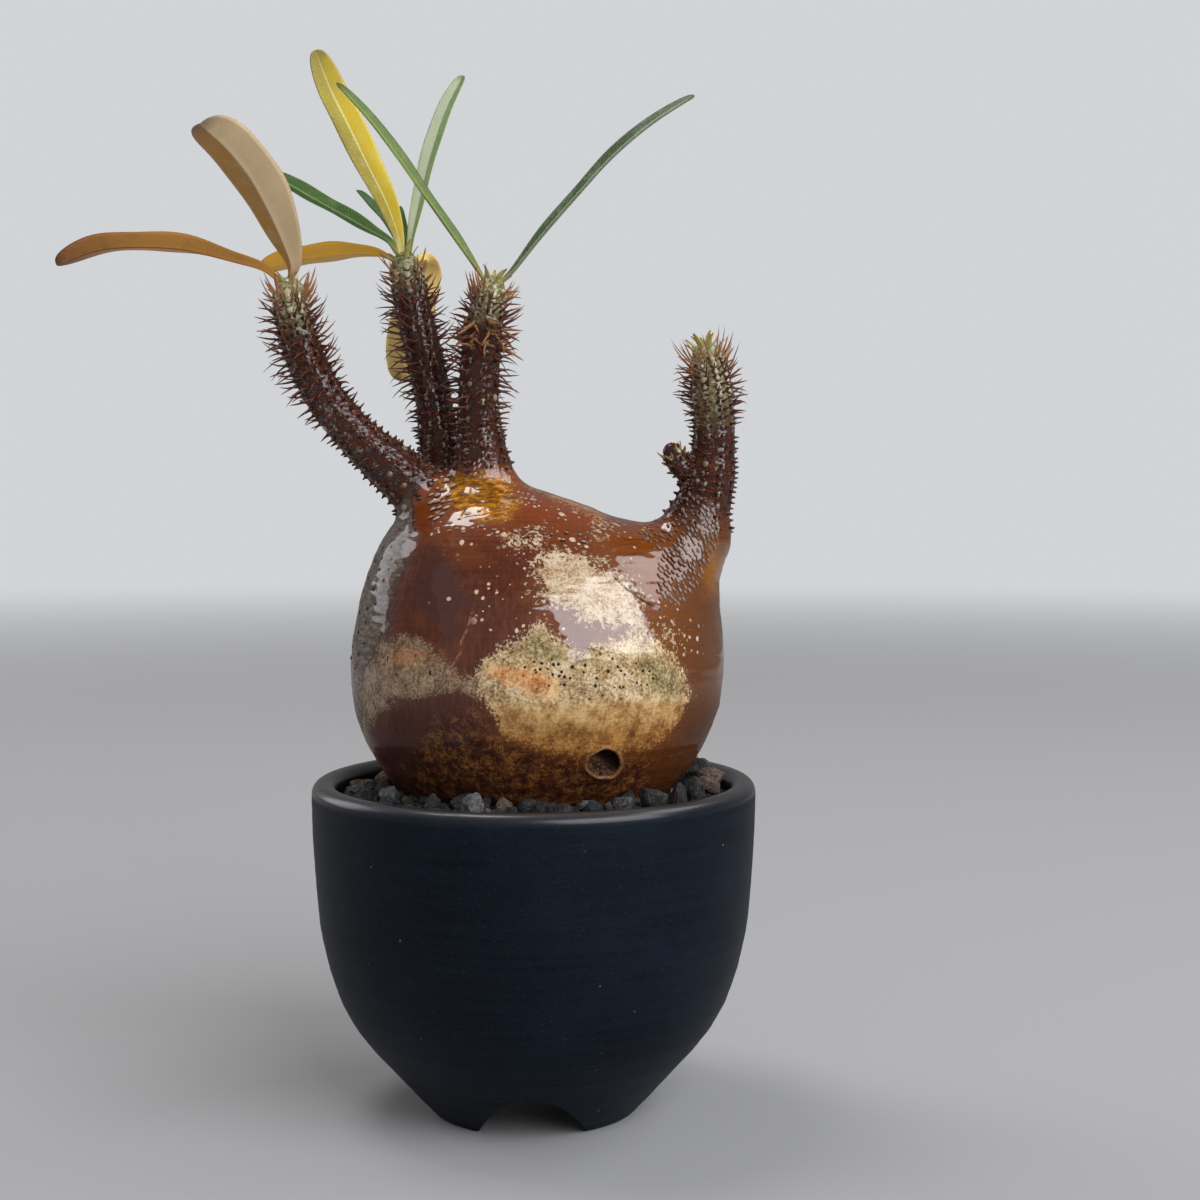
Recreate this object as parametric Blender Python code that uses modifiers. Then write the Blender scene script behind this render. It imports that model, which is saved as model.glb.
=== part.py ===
"""Potted pachypodium: a swollen trunk with four spiny stems, in a footed stoneware bowl.

The plant is laid out in millimetres round the pot's vertical axis, with +Z up and the
front of the pot towards -Y, and is written in metres. At the end everything hangs from one
empty, which puts the origin at the bottom centre of the whole object's box.
"""

import math
import random

import bmesh
import bpy
from mathutils import Matrix, Vector

MM = 0.001
GAP = 0.3 * MM  # clearance between pieces that rest on or in each other

# Pot: outer radius against height, from the foot ring up to the rim.
POT_OUTSIDE = [(25.0, 0), (28.4, 4), (31.9, 8), (35.4, 12), (39.0, 16), (42.8, 21),
               (46.1, 27), (48.8, 35), (50.9, 45), (52.0, 58), (52.6, 70), (52.7, 76.2)]
RIM_HEIGHT = 79.0
RIM_ROUNDING = 2.6
WALL = 5.8
WALL_HEIGHTS = (22, 30, 43, 60)  # of the inner wall's points, which the soil's outside follows
FLOOR_TOP = 14.5
FLOOR_UNDER = 8.6
FOOT_INNER_RADIUS = 20.5
FOOT_GAP = 0.05  # the foot ring is a node of its own, so that its hollow stays open to collision
DRAIN_RADIUS = 6.0
POT_STEPS = 40
ARCH_COUNT = 3
ARCH_HALF_WIDTH = 13.0
ARCH_HALF_HEIGHT = 9.6
ARCH_CENTRE_HEIGHT = -3.0

# Drain screen: a disc of plastic mesh over the drain hole.
SCREEN_RADIUS = 11.0
SCREEN_THICKNESS = 0.9
SCREEN_HOLE_RADIUS = 1.5
SCREEN_HOLE_RING = 5.2
SCREEN_HOLES = 6

# Soil and the stones on it.
SOIL_AT_WALL = 74.0
SOIL_AT_TRUNK = 77.0
TRUNK_SOIL_RADIUS = 34.0
STONE_ROWS = [(43.2, 24, 2.6, 3.3), (38.4, 20, 3.0, 4.0)]  # ring radius, count, smallest and largest stone
STONE_SEED = 7

# Trunk: ellipsoids (centre, and radii along X, along Y, upwards and downwards) and round
# cones (foot, radius, head, radius), with the width over which each one melts into the rest.
TRUNK_BODY = ((0.4, 0, 105), (43.8, 38.5, 40.0, 42.5))
TRUNK_SHOULDER = ((-12.4, 0, 126.5), (25.1, 25.5, 22.2, 24.0), 10.0)
TRUNK_CONES = [
    ((21.5, 0, 113), 23.6, (38.4, 0, 136), 7.2, 9.0),    # right shoulder
    ((37.8, 0, 136), 7.2, (42.0, 0, 152), 5.4, 6.0),     # neck of the right stem
    ((-20, -1, 141), 7.8, (-34.5, -4.2, 154), 5.4, 4.0),  # neck of the left stem
    ((-17, 5, 143), 6.6, (-23.3, 8.2, 162), 4.5, 4.0),    # neck of the back stem
    ((-11, -2, 141), 9.2, (-12.8, -3.1, 163), 4.8, 5.0),  # neck of the middle stem
    ((2, 1, 66), 17.0, (4, 2, 44), 5.0, 8.0),            # root crown, in the soil
]
TRUNK_VOXEL = 1.6
TRUNK_TRIANGLES = 2300
SCAR_CENTRE = (16.6, 87.0)  # X and Z of the old branch scar on the front
SCAR_RADIUS = 4.1
SCAR_RIM = 0.9

# Stems: centre line with the core's radius at each point, from the neck to the crown.
STEMS = {
    "branch_left": {
        "path": [((-31.0, -3.6, 151.5), 5.5), ((-36.6, -4.4, 155.8), 5.2), ((-42.2, -5.2, 161.2), 4.8),
                 ((-47.8, -6.0, 168.2), 4.6), ((-52.0, -6.8, 176.2), 4.5), ((-54.6, -7.4, 183.4), 4.2),
                 ((-55.8, -8.0, 190.0), 3.7), ((-56.0, -8.4, 193.4), 3.3)],
        "spines": 104, "stub_share": 0.34, "seed": 11,
    },
    "branch_back": {
        "path": [((-22.8, 8.0, 157.0), 4.6), ((-23.4, 8.3, 162.5), 4.5), ((-24.6, 8.8, 170.0), 4.4),
                 ((-26.4, 9.2, 178.8), 4.4), ((-28.6, 9.6, 188.0), 4.3), ((-30.1, 9.9, 195.6), 3.9),
                 ((-31.2, 10.0, 201.6), 3.3)],
        "spines": 98, "stub_share": 0.2, "seed": 23,
    },
    "branch_middle": {
        "path": [((-12.6, -3.0, 158.0), 4.9), ((-12.8, -3.2, 163.0), 4.8), ((-12.8, -3.4, 170.0), 4.7),
                 ((-12.3, -3.6, 178.0), 4.6), ((-11.4, -3.8, 185.6), 4.3), ((-10.3, -3.9, 191.2), 3.7),
                 ((-9.6, -4.0, 194.4), 3.2)],
        "spines": 90, "stub_share": 0.12, "seed": 37,
    },
    "branch_right": {
        "path": [((41.0, 0.0, 146.0), 5.6), ((42.0, 0.0, 152.0), 5.3), ((42.6, 0.1, 158.5), 4.9),
                 ((42.7, 0.2, 164.5), 4.7), ((42.3, 0.3, 170.0), 4.5), ((41.6, 0.4, 175.2), 4.1),
                 ((40.9, 0.5, 179.0), 3.4)],
        "spines": 84, "stub_share": 0.3, "seed": 53,
    },
}
SIDE_SHOOT = {
    "path": [((40.0, -0.6, 149.4), 2.4), ((36.6, -1.4, 151.2), 2.4), ((34.2, -1.8, 153.8), 2.6),
             ((32.8, -2.0, 156.6), 2.3)],
    "spines": 16, "stub_share": 1.0, "seed": 61,
}
STEM_SIDES = 4  # the curve's bevel resolution
STEM_STEPS = 12
SPINE_LENGTH = 5.8
SPINE_ROOT_RADIUS = 0.85
SPINE_SUNK = 1.0
STUB_LENGTH = 1.5
CROWN_SPINES = 9
GOLDEN_ANGLE = math.pi * (3 - math.sqrt(5))

# Leaves: the stem that carries each one, where it leaves the crown (turn from +X and rise, in
# degrees), its width, the way its upper face looks and the rest of its midline.
LEAVES = {
    "leaf_left_low": {
        "stem": "branch_left", "root": (188, 40), "width": 9.0, "face": (0.03, 0.4, 1.0),
        "path": [(-61.8, -9.2, 198.4), (-69.6, -9.6, 200.6), (-79.3, -10.2, 202.8),
                 (-89.3, -10.8, 203.4), (-99.3, -11.4, 202.5), (-108.8, -12.0, 199.0)],
    },
    "leaf_left_broad": {
        "stem": "branch_left", "root": (285, 62), "width": 12.4, "face": (0.25, 0.9, 0.35),
        "path": [(-55.0, -11.2, 199.4), (-56.4, -16.6, 205.0), (-58.7, -22.7, 211.3),
                 (-61.5, -28.8, 217.0), (-65.2, -34.9, 221.8), (-69.4, -41.0, 225.4)],
    },
    "leaf_back_amber": {
        "stem": "branch_back", "root": (175, 25), "width": 7.2, "face": (0.0, 0.55, 0.85),
        "path": [(-38.2, 12.4, 204.6), (-44.5, 14.5, 205.0), (-52.3, 17.0, 204.6),
                 (-60.1, 19.5, 203.6), (-68.0, 22.0, 201.8)],
    },
    "leaf_back_dark": {
        "stem": "branch_back", "root": (150, 55), "width": 6.2, "face": (0.3, -0.6, 0.75),
        "path": [(-35.4, 12.4, 207.5), (-40.2, 12.8, 210.3), (-46.4, 13.5, 213.8),
                 (-52.5, 14.1, 217.2), (-58.5, 14.8, 220.7), (-64.4, 15.4, 224.4)],
    },
    "leaf_back_yellow": {
        "stem": "branch_back", "root": (235, 62), "width": 7.4, "face": (0.35, -0.9, 0.2),
        "path": [(-32.7, 7.8, 208.6), (-35.4, 6.0, 216.3), (-39.5, 4.0, 224.7),
                 (-43.5, 2.0, 233.1), (-47.5, 0.0, 241.3), (-50.7, -2.0, 249.8)],
    },
    "leaf_back_pale": {
        "stem": "branch_back", "root": (330, 62), "width": 5.1, "face": (-0.5, -0.8, 0.25),
        "path": [(-29.5, 10.4, 208.6), (-28.1, 11.4, 215.7), (-26.3, 12.5, 224.0),
                 (-24.0, 13.5, 232.2), (-21.2, 14.6, 240.2), (-17.3, 15.6, 247.8)],
    },
    "leaf_back_short": {
        "stem": "branch_back", "root": (110, 30), "width": 3.6, "face": (0.5, -0.5, 0.7),
        "path": [(-33.2, 17.2, 207.2), (-37.0, 20.6, 213.3), (-40.9, 23.3, 217.8), (-44.6, 26.2, 222.0)],
    },
    "leaf_back_young": {
        "stem": "branch_back", "root": (70, 65), "width": 2.1, "face": (-0.2, -0.8, 0.5),
        "path": [(-31.2, 13.4, 208.3), (-32.3, 15.5, 212.6), (-33.4, 17.4, 216.7)],
    },
    "leaf_back_hanging": {
        "stem": "branch_back", "root": (58, 22), "width": 10.6, "face": (0.1, 1.0, 0.15),
        "path": [(-27.0, 17.8, 203.8), (-27.2, 21.6, 202.0), (-29.6, 22.6, 196.9),
                 (-31.4, 23.4, 190.1), (-32.8, 23.9, 182.8), (-33.9, 24.6, 174.6)],
    },
    "leaf_middle_left": {
        "stem": "branch_middle", "root": (195, 48), "width": 5.6, "face": (0.75, -0.4, 0.6),
        "path": [(-13.6, -5.2, 200.0), (-18.1, -5.8, 206.2), (-24.5, -6.7, 215.1),
                 (-30.9, -7.5, 224.1), (-37.5, -8.4, 232.7), (-44.8, -9.2, 240.7)],
    },
    "leaf_middle_right": {
        "stem": "branch_middle", "root": (350, 38), "width": 5.8, "face": (-0.7, -0.5, 0.7),
        "path": [(-4.6, -4.5, 198.6), (2.0, -5.1, 206.5), (10.1, -5.8, 215.5),
                 (18.3, -6.6, 224.2), (27.5, -7.3, 231.8), (37.5, -8.0, 238.1)],
    },
}
LEAF_THICKNESS = 0.7
LEAF_STALK_WIDTH = 1.7
LEAF_LENGTH_CELLS = 10
LEAF_CROSS_CELLS = 4
LEAF_FOLD = 0.16  # rise of the margin over the midrib, as a share of the width
LEAF_ROOM = 1.5  # what a spine keeps clear of a leaf

COLOURS = {  # base colour, roughness
    "stoneware": ((0.018, 0.022, 0.028), 0.55),
    "screen": ((0.05, 0.05, 0.05), 0.6),
    "soil": ((0.07, 0.06, 0.055), 0.95),
    "trunk": ((0.30, 0.13, 0.04), 0.25),
    "stem": ((0.10, 0.035, 0.025), 0.5),
    "amber": ((0.55, 0.26, 0.04), 0.5),
    "tan": ((0.45, 0.30, 0.15), 0.5),
    "dark_green": ((0.05, 0.12, 0.04), 0.45),
    "yellow": ((0.55, 0.42, 0.05), 0.45),
    "pale_green": ((0.30, 0.38, 0.20), 0.5),
}
LEAF_COLOURS = {
    "leaf_left_low": "amber", "leaf_left_broad": "tan", "leaf_back_amber": "amber",
    "leaf_back_dark": "dark_green", "leaf_back_yellow": "yellow", "leaf_back_pale": "pale_green",
    "leaf_back_short": "dark_green", "leaf_back_young": "dark_green", "leaf_back_hanging": "yellow",
    "leaf_middle_left": "dark_green", "leaf_middle_right": "dark_green",
}


# Scene and small helpers

def clear_scene():
    for obj in list(bpy.data.objects):
        bpy.data.objects.remove(obj)


def new_collection(name):
    made = bpy.data.collections.new(name)
    bpy.context.scene.collection.children.link(made)
    return made


def material(name):
    colour, roughness = COLOURS[name]
    made = bpy.data.materials.get(name) or bpy.data.materials.new(name)
    made.use_nodes = True
    shader = made.node_tree.nodes["Principled BSDF"]
    shader.inputs["Base Color"].default_value = (*colour, 1)
    shader.inputs["Roughness"].default_value = roughness
    shader.inputs["Metallic"].default_value = 0.0
    return made


def new_object(name, data, collection, material_name=None):
    obj = bpy.data.objects.new(name, data)
    collection.objects.link(obj)
    if material_name:
        obj.data.materials.append(material(material_name))
    return obj


def mesh_of(bm, name):
    bmesh.ops.recalc_face_normals(bm, faces=bm.faces)
    mesh = bpy.data.meshes.new(name)
    bm.to_mesh(mesh)
    bm.free()
    return mesh


def as_cutter(obj):
    obj.hide_render = True
    obj.display_type = "WIRE"
    return obj


def smooth(obj):
    obj.data.shade_smooth()
    obj.data.set_sharp_from_angle(angle=math.radians(40))


def bake_modifiers(obj):
    """Writes the object's evaluated mesh back into it and drops its modifiers."""
    bpy.context.view_layer.update()
    evaluated = obj.evaluated_get(bpy.context.evaluated_depsgraph_get())
    mesh = bpy.data.meshes.new_from_object(evaluated)
    obj.modifiers.clear()
    obj.data = mesh


def boolean(obj, other, operation, solver="EXACT"):
    cut = obj.modifiers.new(operation.lower(), "BOOLEAN")
    cut.operation = operation
    cut.solver = solver
    if isinstance(other, bpy.types.Collection):
        cut.operand_type = "COLLECTION"
        cut.collection = other
    else:
        cut.object = other
    return cut


def grown(obj, amount, collection):
    """A copy of a baked object with its surface moved out by amount, to cut clearances with."""
    copy = as_cutter(new_object(obj.name + "_clearance", obj.data.copy(), collection))
    swell = copy.modifiers.new("swell", "DISPLACE")
    swell.mid_level = 0
    swell.strength = amount
    bake_modifiers(copy)
    return copy


def catmull_rom(points, t):
    """The point at t, from 0 to 1, of a smooth curve through all the points (tuples of any length)."""
    last = len(points) - 1
    at = min(max(t, 0.0), 1.0) * last
    i = min(int(at), last - 1)
    f = at - i
    p = [points[min(max(k, 0), last)] for k in (i - 1, i, i + 1, i + 2)]
    return [0.5 * (2 * b + (c - a) * f + (2 * a - 5 * b + 4 * c - d) * f * f + (3 * b - a - 3 * c + d) * f ** 3)
            for a, b, c, d in zip(*p)]


# Pot

def pot_radius(height):
    """Outer radius of the pot at a height, straight between the profile's points."""
    for (r0, z0), (r1, z1) in zip(POT_OUTSIDE, POT_OUTSIDE[1:]):
        if height <= z1:
            return r0 + (r1 - r0) * max(height - z0, 0) / (z1 - z0)
    return POT_OUTSIDE[-1][0]


def inner_radius(height):
    return pot_radius(height) - WALL


def rim_points():
    """The rim's rounded top, from the inner wall over to the outer one."""
    outer = POT_OUTSIDE[-1][0]
    inner = outer - WALL
    crown = RIM_HEIGHT - RIM_ROUNDING
    turns = [math.radians(a) for a in (180, 140, 105, 90)]
    inside = [(inner + RIM_ROUNDING * (1 + math.cos(a)), crown + RIM_ROUNDING * math.sin(a)) for a in turns]
    turns = [math.radians(a) for a in (75, 45, 20)]
    outside = [(outer - RIM_ROUNDING * (1 - math.cos(a)), crown + RIM_ROUNDING * math.sin(a)) for a in turns]
    return inside + outside


def bowl_profile():
    """Closed outline of the bowl's section, down the outside to the foot ring and back up the inside."""
    outside = [(r, z) for r, z in reversed(POT_OUTSIDE) if z > FLOOR_UNDER]
    underside = [(pot_radius(FLOOR_UNDER), FLOOR_UNDER)]
    hole = [(DRAIN_RADIUS, FLOOR_UNDER), (DRAIN_RADIUS, FLOOR_TOP)]
    floor = [(inner_radius(16) - 10, FLOOR_TOP + 0.4), (inner_radius(18) - 2, FLOOR_TOP + 3)]
    inside = [(inner_radius(z), z) for z in WALL_HEIGHTS]
    return outside + underside + hole + floor + inside + rim_points()


def foot_profile():
    """Closed outline of the foot ring's section, up the outside and down its hollow middle."""
    top = FLOOR_UNDER - FOOT_GAP
    outside = [(r, z) for r, z in POT_OUTSIDE if z < top]
    over = [(pot_radius(top), top), (FOOT_INNER_RADIUS - 5, top)]
    inside = [(FOOT_INNER_RADIUS - 2.5, FLOOR_UNDER - 1.4), (FOOT_INNER_RADIUS, 0)]
    return outside + over + inside


def turned(name, profile, collection, steps=POT_STEPS, closed=True):
    """A profile of (radius, height) in millimetres turned round the pot's axis."""
    bm = bmesh.new()
    verts = [bm.verts.new((r * MM, 0, z * MM)) for r, z in profile]
    for a, b in zip(verts, verts[1:]):
        bm.edges.new((a, b))
    if closed:
        bm.edges.new((verts[-1], verts[0]))
    mesh = bpy.data.meshes.new(name)
    bm.to_mesh(mesh)
    bm.free()
    obj = new_object(name, mesh, collection)
    screw = obj.modifiers.new("turn", "SCREW")
    screw.steps = screw.render_steps = steps
    screw.use_merge_vertices = True
    screw.merge_threshold = 0.00001
    screw.use_smooth_shade = True
    return obj


def arch_cutter(index, collection):
    """An elliptic bar lying along a radius, which opens one arch in the foot ring."""
    bpy.ops.mesh.primitive_cylinder_add(vertices=24, radius=1, depth=1)
    bar = bpy.context.object
    bar.name = f"arch_{index}"
    turn = Matrix.Rotation(math.radians(-90 + index * 360 / ARCH_COUNT), 4, "Z")
    lie = Matrix.Rotation(math.radians(90), 4, "Y")
    size = Matrix.Diagonal((ARCH_HALF_HEIGHT * MM, ARCH_HALF_WIDTH * MM, 40 * MM, 1))
    reach = Matrix.Translation((32 * MM, 0, ARCH_CENTRE_HEIGHT * MM))
    bar.data.transform(turn @ reach @ lie @ size)
    for owner in list(bar.users_collection):
        owner.objects.unlink(bar)
    collection.objects.link(bar)
    return as_cutter(bar)


def make_pot(plant):
    pot = turned("pot", bowl_profile(), plant)
    pot.data.materials.append(material("stoneware"))
    bake_modifiers(pot)
    smooth(pot)
    return pot


def make_pot_foot(plant, cutters):
    """The ring under the bowl, which three arches cut into three feet."""
    foot = turned("pot_foot", foot_profile(), plant)
    foot.data.materials.append(material("stoneware"))
    for index in range(ARCH_COUNT):
        boolean(foot, arch_cutter(index, cutters), "DIFFERENCE")
    bake_modifiers(foot)
    smooth(foot)
    return foot


def make_drain_screen(plant, cutters):
    """A flat disc with a ring of holes, lying on the pot's floor over the drain hole."""
    bm = bmesh.new()
    low = FLOOR_TOP * MM + 0.4 * MM + GAP
    bmesh.ops.create_cone(bm, cap_ends=True, segments=24, radius1=SCREEN_RADIUS * MM, radius2=SCREEN_RADIUS * MM,
                          depth=SCREEN_THICKNESS * MM,
                          matrix=Matrix.Translation((0, 0, low + SCREEN_THICKNESS * MM / 2)))
    screen = new_object("drain_screen", mesh_of(bm, "drain_screen"), plant, "screen")
    bm = bmesh.new()
    for k in range(SCREEN_HOLES):
        a = 2 * math.pi * k / SCREEN_HOLES
        at = (SCREEN_HOLE_RING * MM * math.cos(a), SCREEN_HOLE_RING * MM * math.sin(a), low)
        bmesh.ops.create_cone(bm, cap_ends=True, segments=8, radius1=SCREEN_HOLE_RADIUS * MM,
                              radius2=SCREEN_HOLE_RADIUS * MM, depth=6 * MM, matrix=Matrix.Translation(at))
    holes = as_cutter(new_object("screen_holes", mesh_of(bm, "screen_holes"), cutters))
    boolean(screen, holes, "DIFFERENCE")
    bake_modifiers(screen)
    return screen


# Trunk

def ellipsoid_distance(p, centre, radii):
    wide, deep, up, down = radii
    radii = (wide, deep, up if p.z > centre[2] else down)
    q = Vector((a - b) / r for a, b, r in zip(p, centre, radii))
    k = q.length
    slope = Vector(a / r for a, r in zip(q, radii)).length
    return k * (k - 1) / max(slope, 1e-9)


def cone_distance(p, foot, foot_radius, head, head_radius):
    foot, head = Vector(foot), Vector(head)
    axis = head - foot
    h = min(max((p - foot).dot(axis) / axis.length_squared, 0.0), 1.0)
    return (p - foot - axis * h).length - (foot_radius + (head_radius - foot_radius) * h)


def melt(a, b, width):
    """The smaller of two distances, rounded off where they are within width of each other."""
    h = min(max(0.5 + 0.5 * (b - a) / width, 0.0), 1.0)
    return b + (a - b) * h - width * h * (1 - h)


def trunk_distance(p):
    """How far a point, in millimetres, lies outside the trunk's skin."""
    distance = ellipsoid_distance(p, *TRUNK_BODY)
    centre, radii, width = TRUNK_SHOULDER
    distance = melt(distance, ellipsoid_distance(p, centre, radii), width)
    for foot, foot_radius, head, head_radius, width in TRUNK_CONES:
        distance = melt(distance, cone_distance(p, foot, foot_radius, head, head_radius), width)
    return distance


def trunk_slope(p):
    step = 0.05
    x, y, z = Vector((step, 0, 0)), Vector((0, step, 0)), Vector((0, 0, step))
    return Vector((trunk_distance(p + x) - trunk_distance(p - x),
                   trunk_distance(p + y) - trunk_distance(p - y),
                   trunk_distance(p + z) - trunk_distance(p - z))).normalized()


def settle_on_skin(obj):
    """Moves each vertex along the slope on to the trunk's skin."""
    for vertex in obj.data.vertices:
        p = vertex.co / MM
        for _ in range(3):
            p = p - trunk_slope(p) * trunk_distance(p)
        vertex.co = p * MM


def trunk_blocks():
    """The trunk's ellipsoids and cones as overlapping primitives, in one mesh."""
    bm = bmesh.new()
    for centre, radii in (TRUNK_BODY, TRUNK_SHOULDER[:2]):
        place = Matrix.Translation(Vector(centre) * MM) @ Matrix.Diagonal((*[r * MM for r in radii[:3]], 1))
        bmesh.ops.create_uvsphere(bm, u_segments=32, v_segments=20, radius=1, matrix=place)
    for foot, foot_radius, head, head_radius, _ in TRUNK_CONES:
        foot, head = Vector(foot) * MM, Vector(head) * MM
        axis = head - foot
        turn = axis.to_track_quat("Z", "Y").to_matrix().to_4x4()
        bmesh.ops.create_cone(bm, cap_ends=True, segments=20, radius1=foot_radius * MM,
                              radius2=head_radius * MM, depth=axis.length,
                              matrix=Matrix.Translation((foot + head) / 2) @ turn)
    return mesh_of(bm, "trunk_blocks")


def neck_saw(name, stem, cutters):
    """A short drum beyond the stem's first point, which trims the trunk's neck to a flat end."""
    (start, radius), (ahead, _) = stem["path"][:2]
    start, ahead = Vector(start) * MM, Vector(ahead) * MM
    axis = (ahead - start).normalized()
    bm = bmesh.new()
    depth = 16 * MM
    turn = axis.to_track_quat("Z", "Y").to_matrix().to_4x4()
    place = Matrix.Translation(start + axis * depth / 2) @ turn
    bmesh.ops.create_cone(bm, cap_ends=True, segments=16, radius1=(radius + 2.2) * MM,
                          radius2=(radius + 2.2) * MM, depth=depth, matrix=place)
    return as_cutter(new_object(name + "_saw", mesh_of(bm, name + "_saw"), cutters))


def front_of_trunk(x, z):
    """The point of the trunk's skin seen from the front at x, z, in millimetres."""
    p = Vector((x, -60, z))
    for _ in range(60):
        p.y += trunk_distance(p) * 0.9
    return p


def scar_matrix():
    at = front_of_trunk(*SCAR_CENTRE)
    return Matrix.Translation(at * MM) @ trunk_slope(at).to_track_quat("Z", "Y").to_matrix().to_4x4()


def scar_parts(cutters):
    """The raised ring of the old branch scar, and the cup that hollows its middle."""
    place = scar_matrix()
    bpy.ops.mesh.primitive_torus_add(major_segments=20, minor_segments=6,
                                     major_radius=SCAR_RADIUS * MM, minor_radius=SCAR_RIM * MM)
    ring = bpy.context.object
    ring.name = "scar_ring"
    ring.data.transform(place)
    bm = bmesh.new()
    bmesh.ops.create_uvsphere(bm, u_segments=14, v_segments=8, radius=SCAR_RADIUS * 0.82 * MM,
                              matrix=place @ Matrix.Translation((0, 0, SCAR_RADIUS * 0.45 * MM)))
    cup = as_cutter(new_object("scar_cup", mesh_of(bm, "scar_cup"), cutters))
    for owner in list(ring.users_collection):
        owner.objects.unlink(ring)
    cutters.objects.link(ring)
    return as_cutter(ring), cup


def make_trunk(plant, cutters):
    trunk = new_object("caudex", trunk_blocks(), plant)
    skin = trunk.modifiers.new("skin", "REMESH")
    skin.mode = "VOXEL"
    skin.voxel_size = TRUNK_VOXEL * MM
    bake_modifiers(trunk)
    settle_on_skin(trunk)
    fewer = trunk.modifiers.new("fewer", "DECIMATE")
    fewer.ratio = TRUNK_TRIANGLES / (2 * len(trunk.data.polygons))
    bake_modifiers(trunk)
    ring, cup = scar_parts(cutters)
    boolean(trunk, ring, "UNION")
    boolean(trunk, cup, "DIFFERENCE")
    for name, stem in STEMS.items():
        boolean(trunk, neck_saw(name, stem, cutters), "DIFFERENCE")
    bake_modifiers(trunk)
    trunk.data.materials.clear()
    trunk.data.materials.append(material("trunk"))
    smooth(trunk)
    return trunk


# Stems and their spines

def stem_point(stem, t):
    """Centre line point and core radius of a stem at t, from 0 at its neck to 1 at its crown."""
    x, y, z, radius = catmull_rom([(*at, r) for at, r in stem["path"]], t)
    return Vector((x, y, z)), radius


def stem_axis(stem, t):
    return (stem_point(stem, min(t + 0.01, 1))[0] - stem_point(stem, max(t - 0.01, 0))[0]).normalized()


def stem_core(name, stem, collection):
    """The stem without spines: a tapering tube with a flat foot and a domed crown."""
    curve = bpy.data.curves.new(name, "CURVE")
    curve.dimensions = "3D"
    curve.bevel_depth = MM
    curve.bevel_resolution = STEM_SIDES
    curve.use_fill_caps = True
    stations = []
    foot_axis = stem_axis(stem, 0)
    for k in range(STEM_STEPS + 1):
        at, radius = stem_point(stem, k / STEM_STEPS)
        stations.append((at + foot_axis * (GAP / MM if k == 0 else 0), radius))
    crown, crown_radius = stations[-1]
    for turn in (30, 60, 84):
        a = math.radians(turn)
        stations.append((crown + stem_axis(stem, 1) * crown_radius * math.sin(a), crown_radius * math.cos(a)))
    spline = curve.splines.new("POLY")
    spline.points.add(len(stations) - 1)
    for point, (at, radius) in zip(spline.points, stations):
        point.co = (*(at * MM), 1)
        point.radius = radius
    tube = new_object(name + "_curve", curve, collection)
    bpy.context.view_layer.update()
    mesh = bpy.data.meshes.new_from_object(tube.evaluated_get(bpy.context.evaluated_depsgraph_get()))
    bpy.data.objects.remove(tube)
    bm = bmesh.new()
    bm.from_mesh(mesh)
    bmesh.ops.remove_doubles(bm, verts=bm.verts, dist=0.00001)
    return new_object(name, mesh_of(bm, name), collection)


def distance_to_path(p, points):
    """Distance from a point to a chain of points, and how far along the chain, from 0 to 1."""
    best = (1e9, 0.0)
    for k, (a, b) in enumerate(zip(points, points[1:])):
        a, b = Vector(a), Vector(b)
        h = min(max((p - a).dot(b - a) / (b - a).length_squared, 0.0), 1.0)
        best = min(best, ((p - a - (b - a) * h).length, (k + h) / (len(points) - 1)))
    return best


def spine_room(owner, root, direction, length):
    """The length a spine can have before it nears a leaf, or lies closer to another stem than to its own."""
    own_path = [at for at, _ in STEMS[owner]["path"]]
    others = [[at for at, _ in stem["path"]] for name, stem in STEMS.items() if name != owner]
    while length > STUB_LENGTH:
        steps = [root + direction * length * share for share in (0.4, 0.6, 0.8, 1.0)]
        near_leaf = any(distance_to_path(p, path)[0] < leaf_half_width(leaf, distance_to_path(p, path)[1]) + LEAF_ROOM
                        for leaf, path in LEAF_PATHS.items() for p in steps)
        tip = steps[-1]
        own = distance_to_path(tip, own_path)[0]
        if not near_leaf and all(distance_to_path(tip, path)[0] > own + 1.2 for path in others):
            return length
        length -= 0.5
    return 0.0


def add_spine(name, root, direction, length, radius, collection):
    """One three-sided spine. The root, in millimetres, is on the skin, and the spine starts below it."""
    bm = bmesh.new()
    whole = length + SPINE_SUNK
    middle = (root + direction * (length - SPINE_SUNK) / 2) * MM
    place = Matrix.Translation(middle) @ direction.to_track_quat("Z", "Y").to_matrix().to_4x4()
    bmesh.ops.create_cone(bm, cap_ends=True, segments=3, radius1=radius * MM, radius2=0,
                          depth=whole * MM, matrix=place)
    new_object(name, mesh_of(bm, name), collection)


def spine_length_at(t, stem, draw):
    """Worn stubs low on the stem, then full spines."""
    share = min(max((t - stem["stub_share"]) / 0.14, 0.0), 1.0)
    return (STUB_LENGTH + (SPINE_LENGTH - STUB_LENGTH) * share) * draw.uniform(0.84, 1.14)


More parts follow.
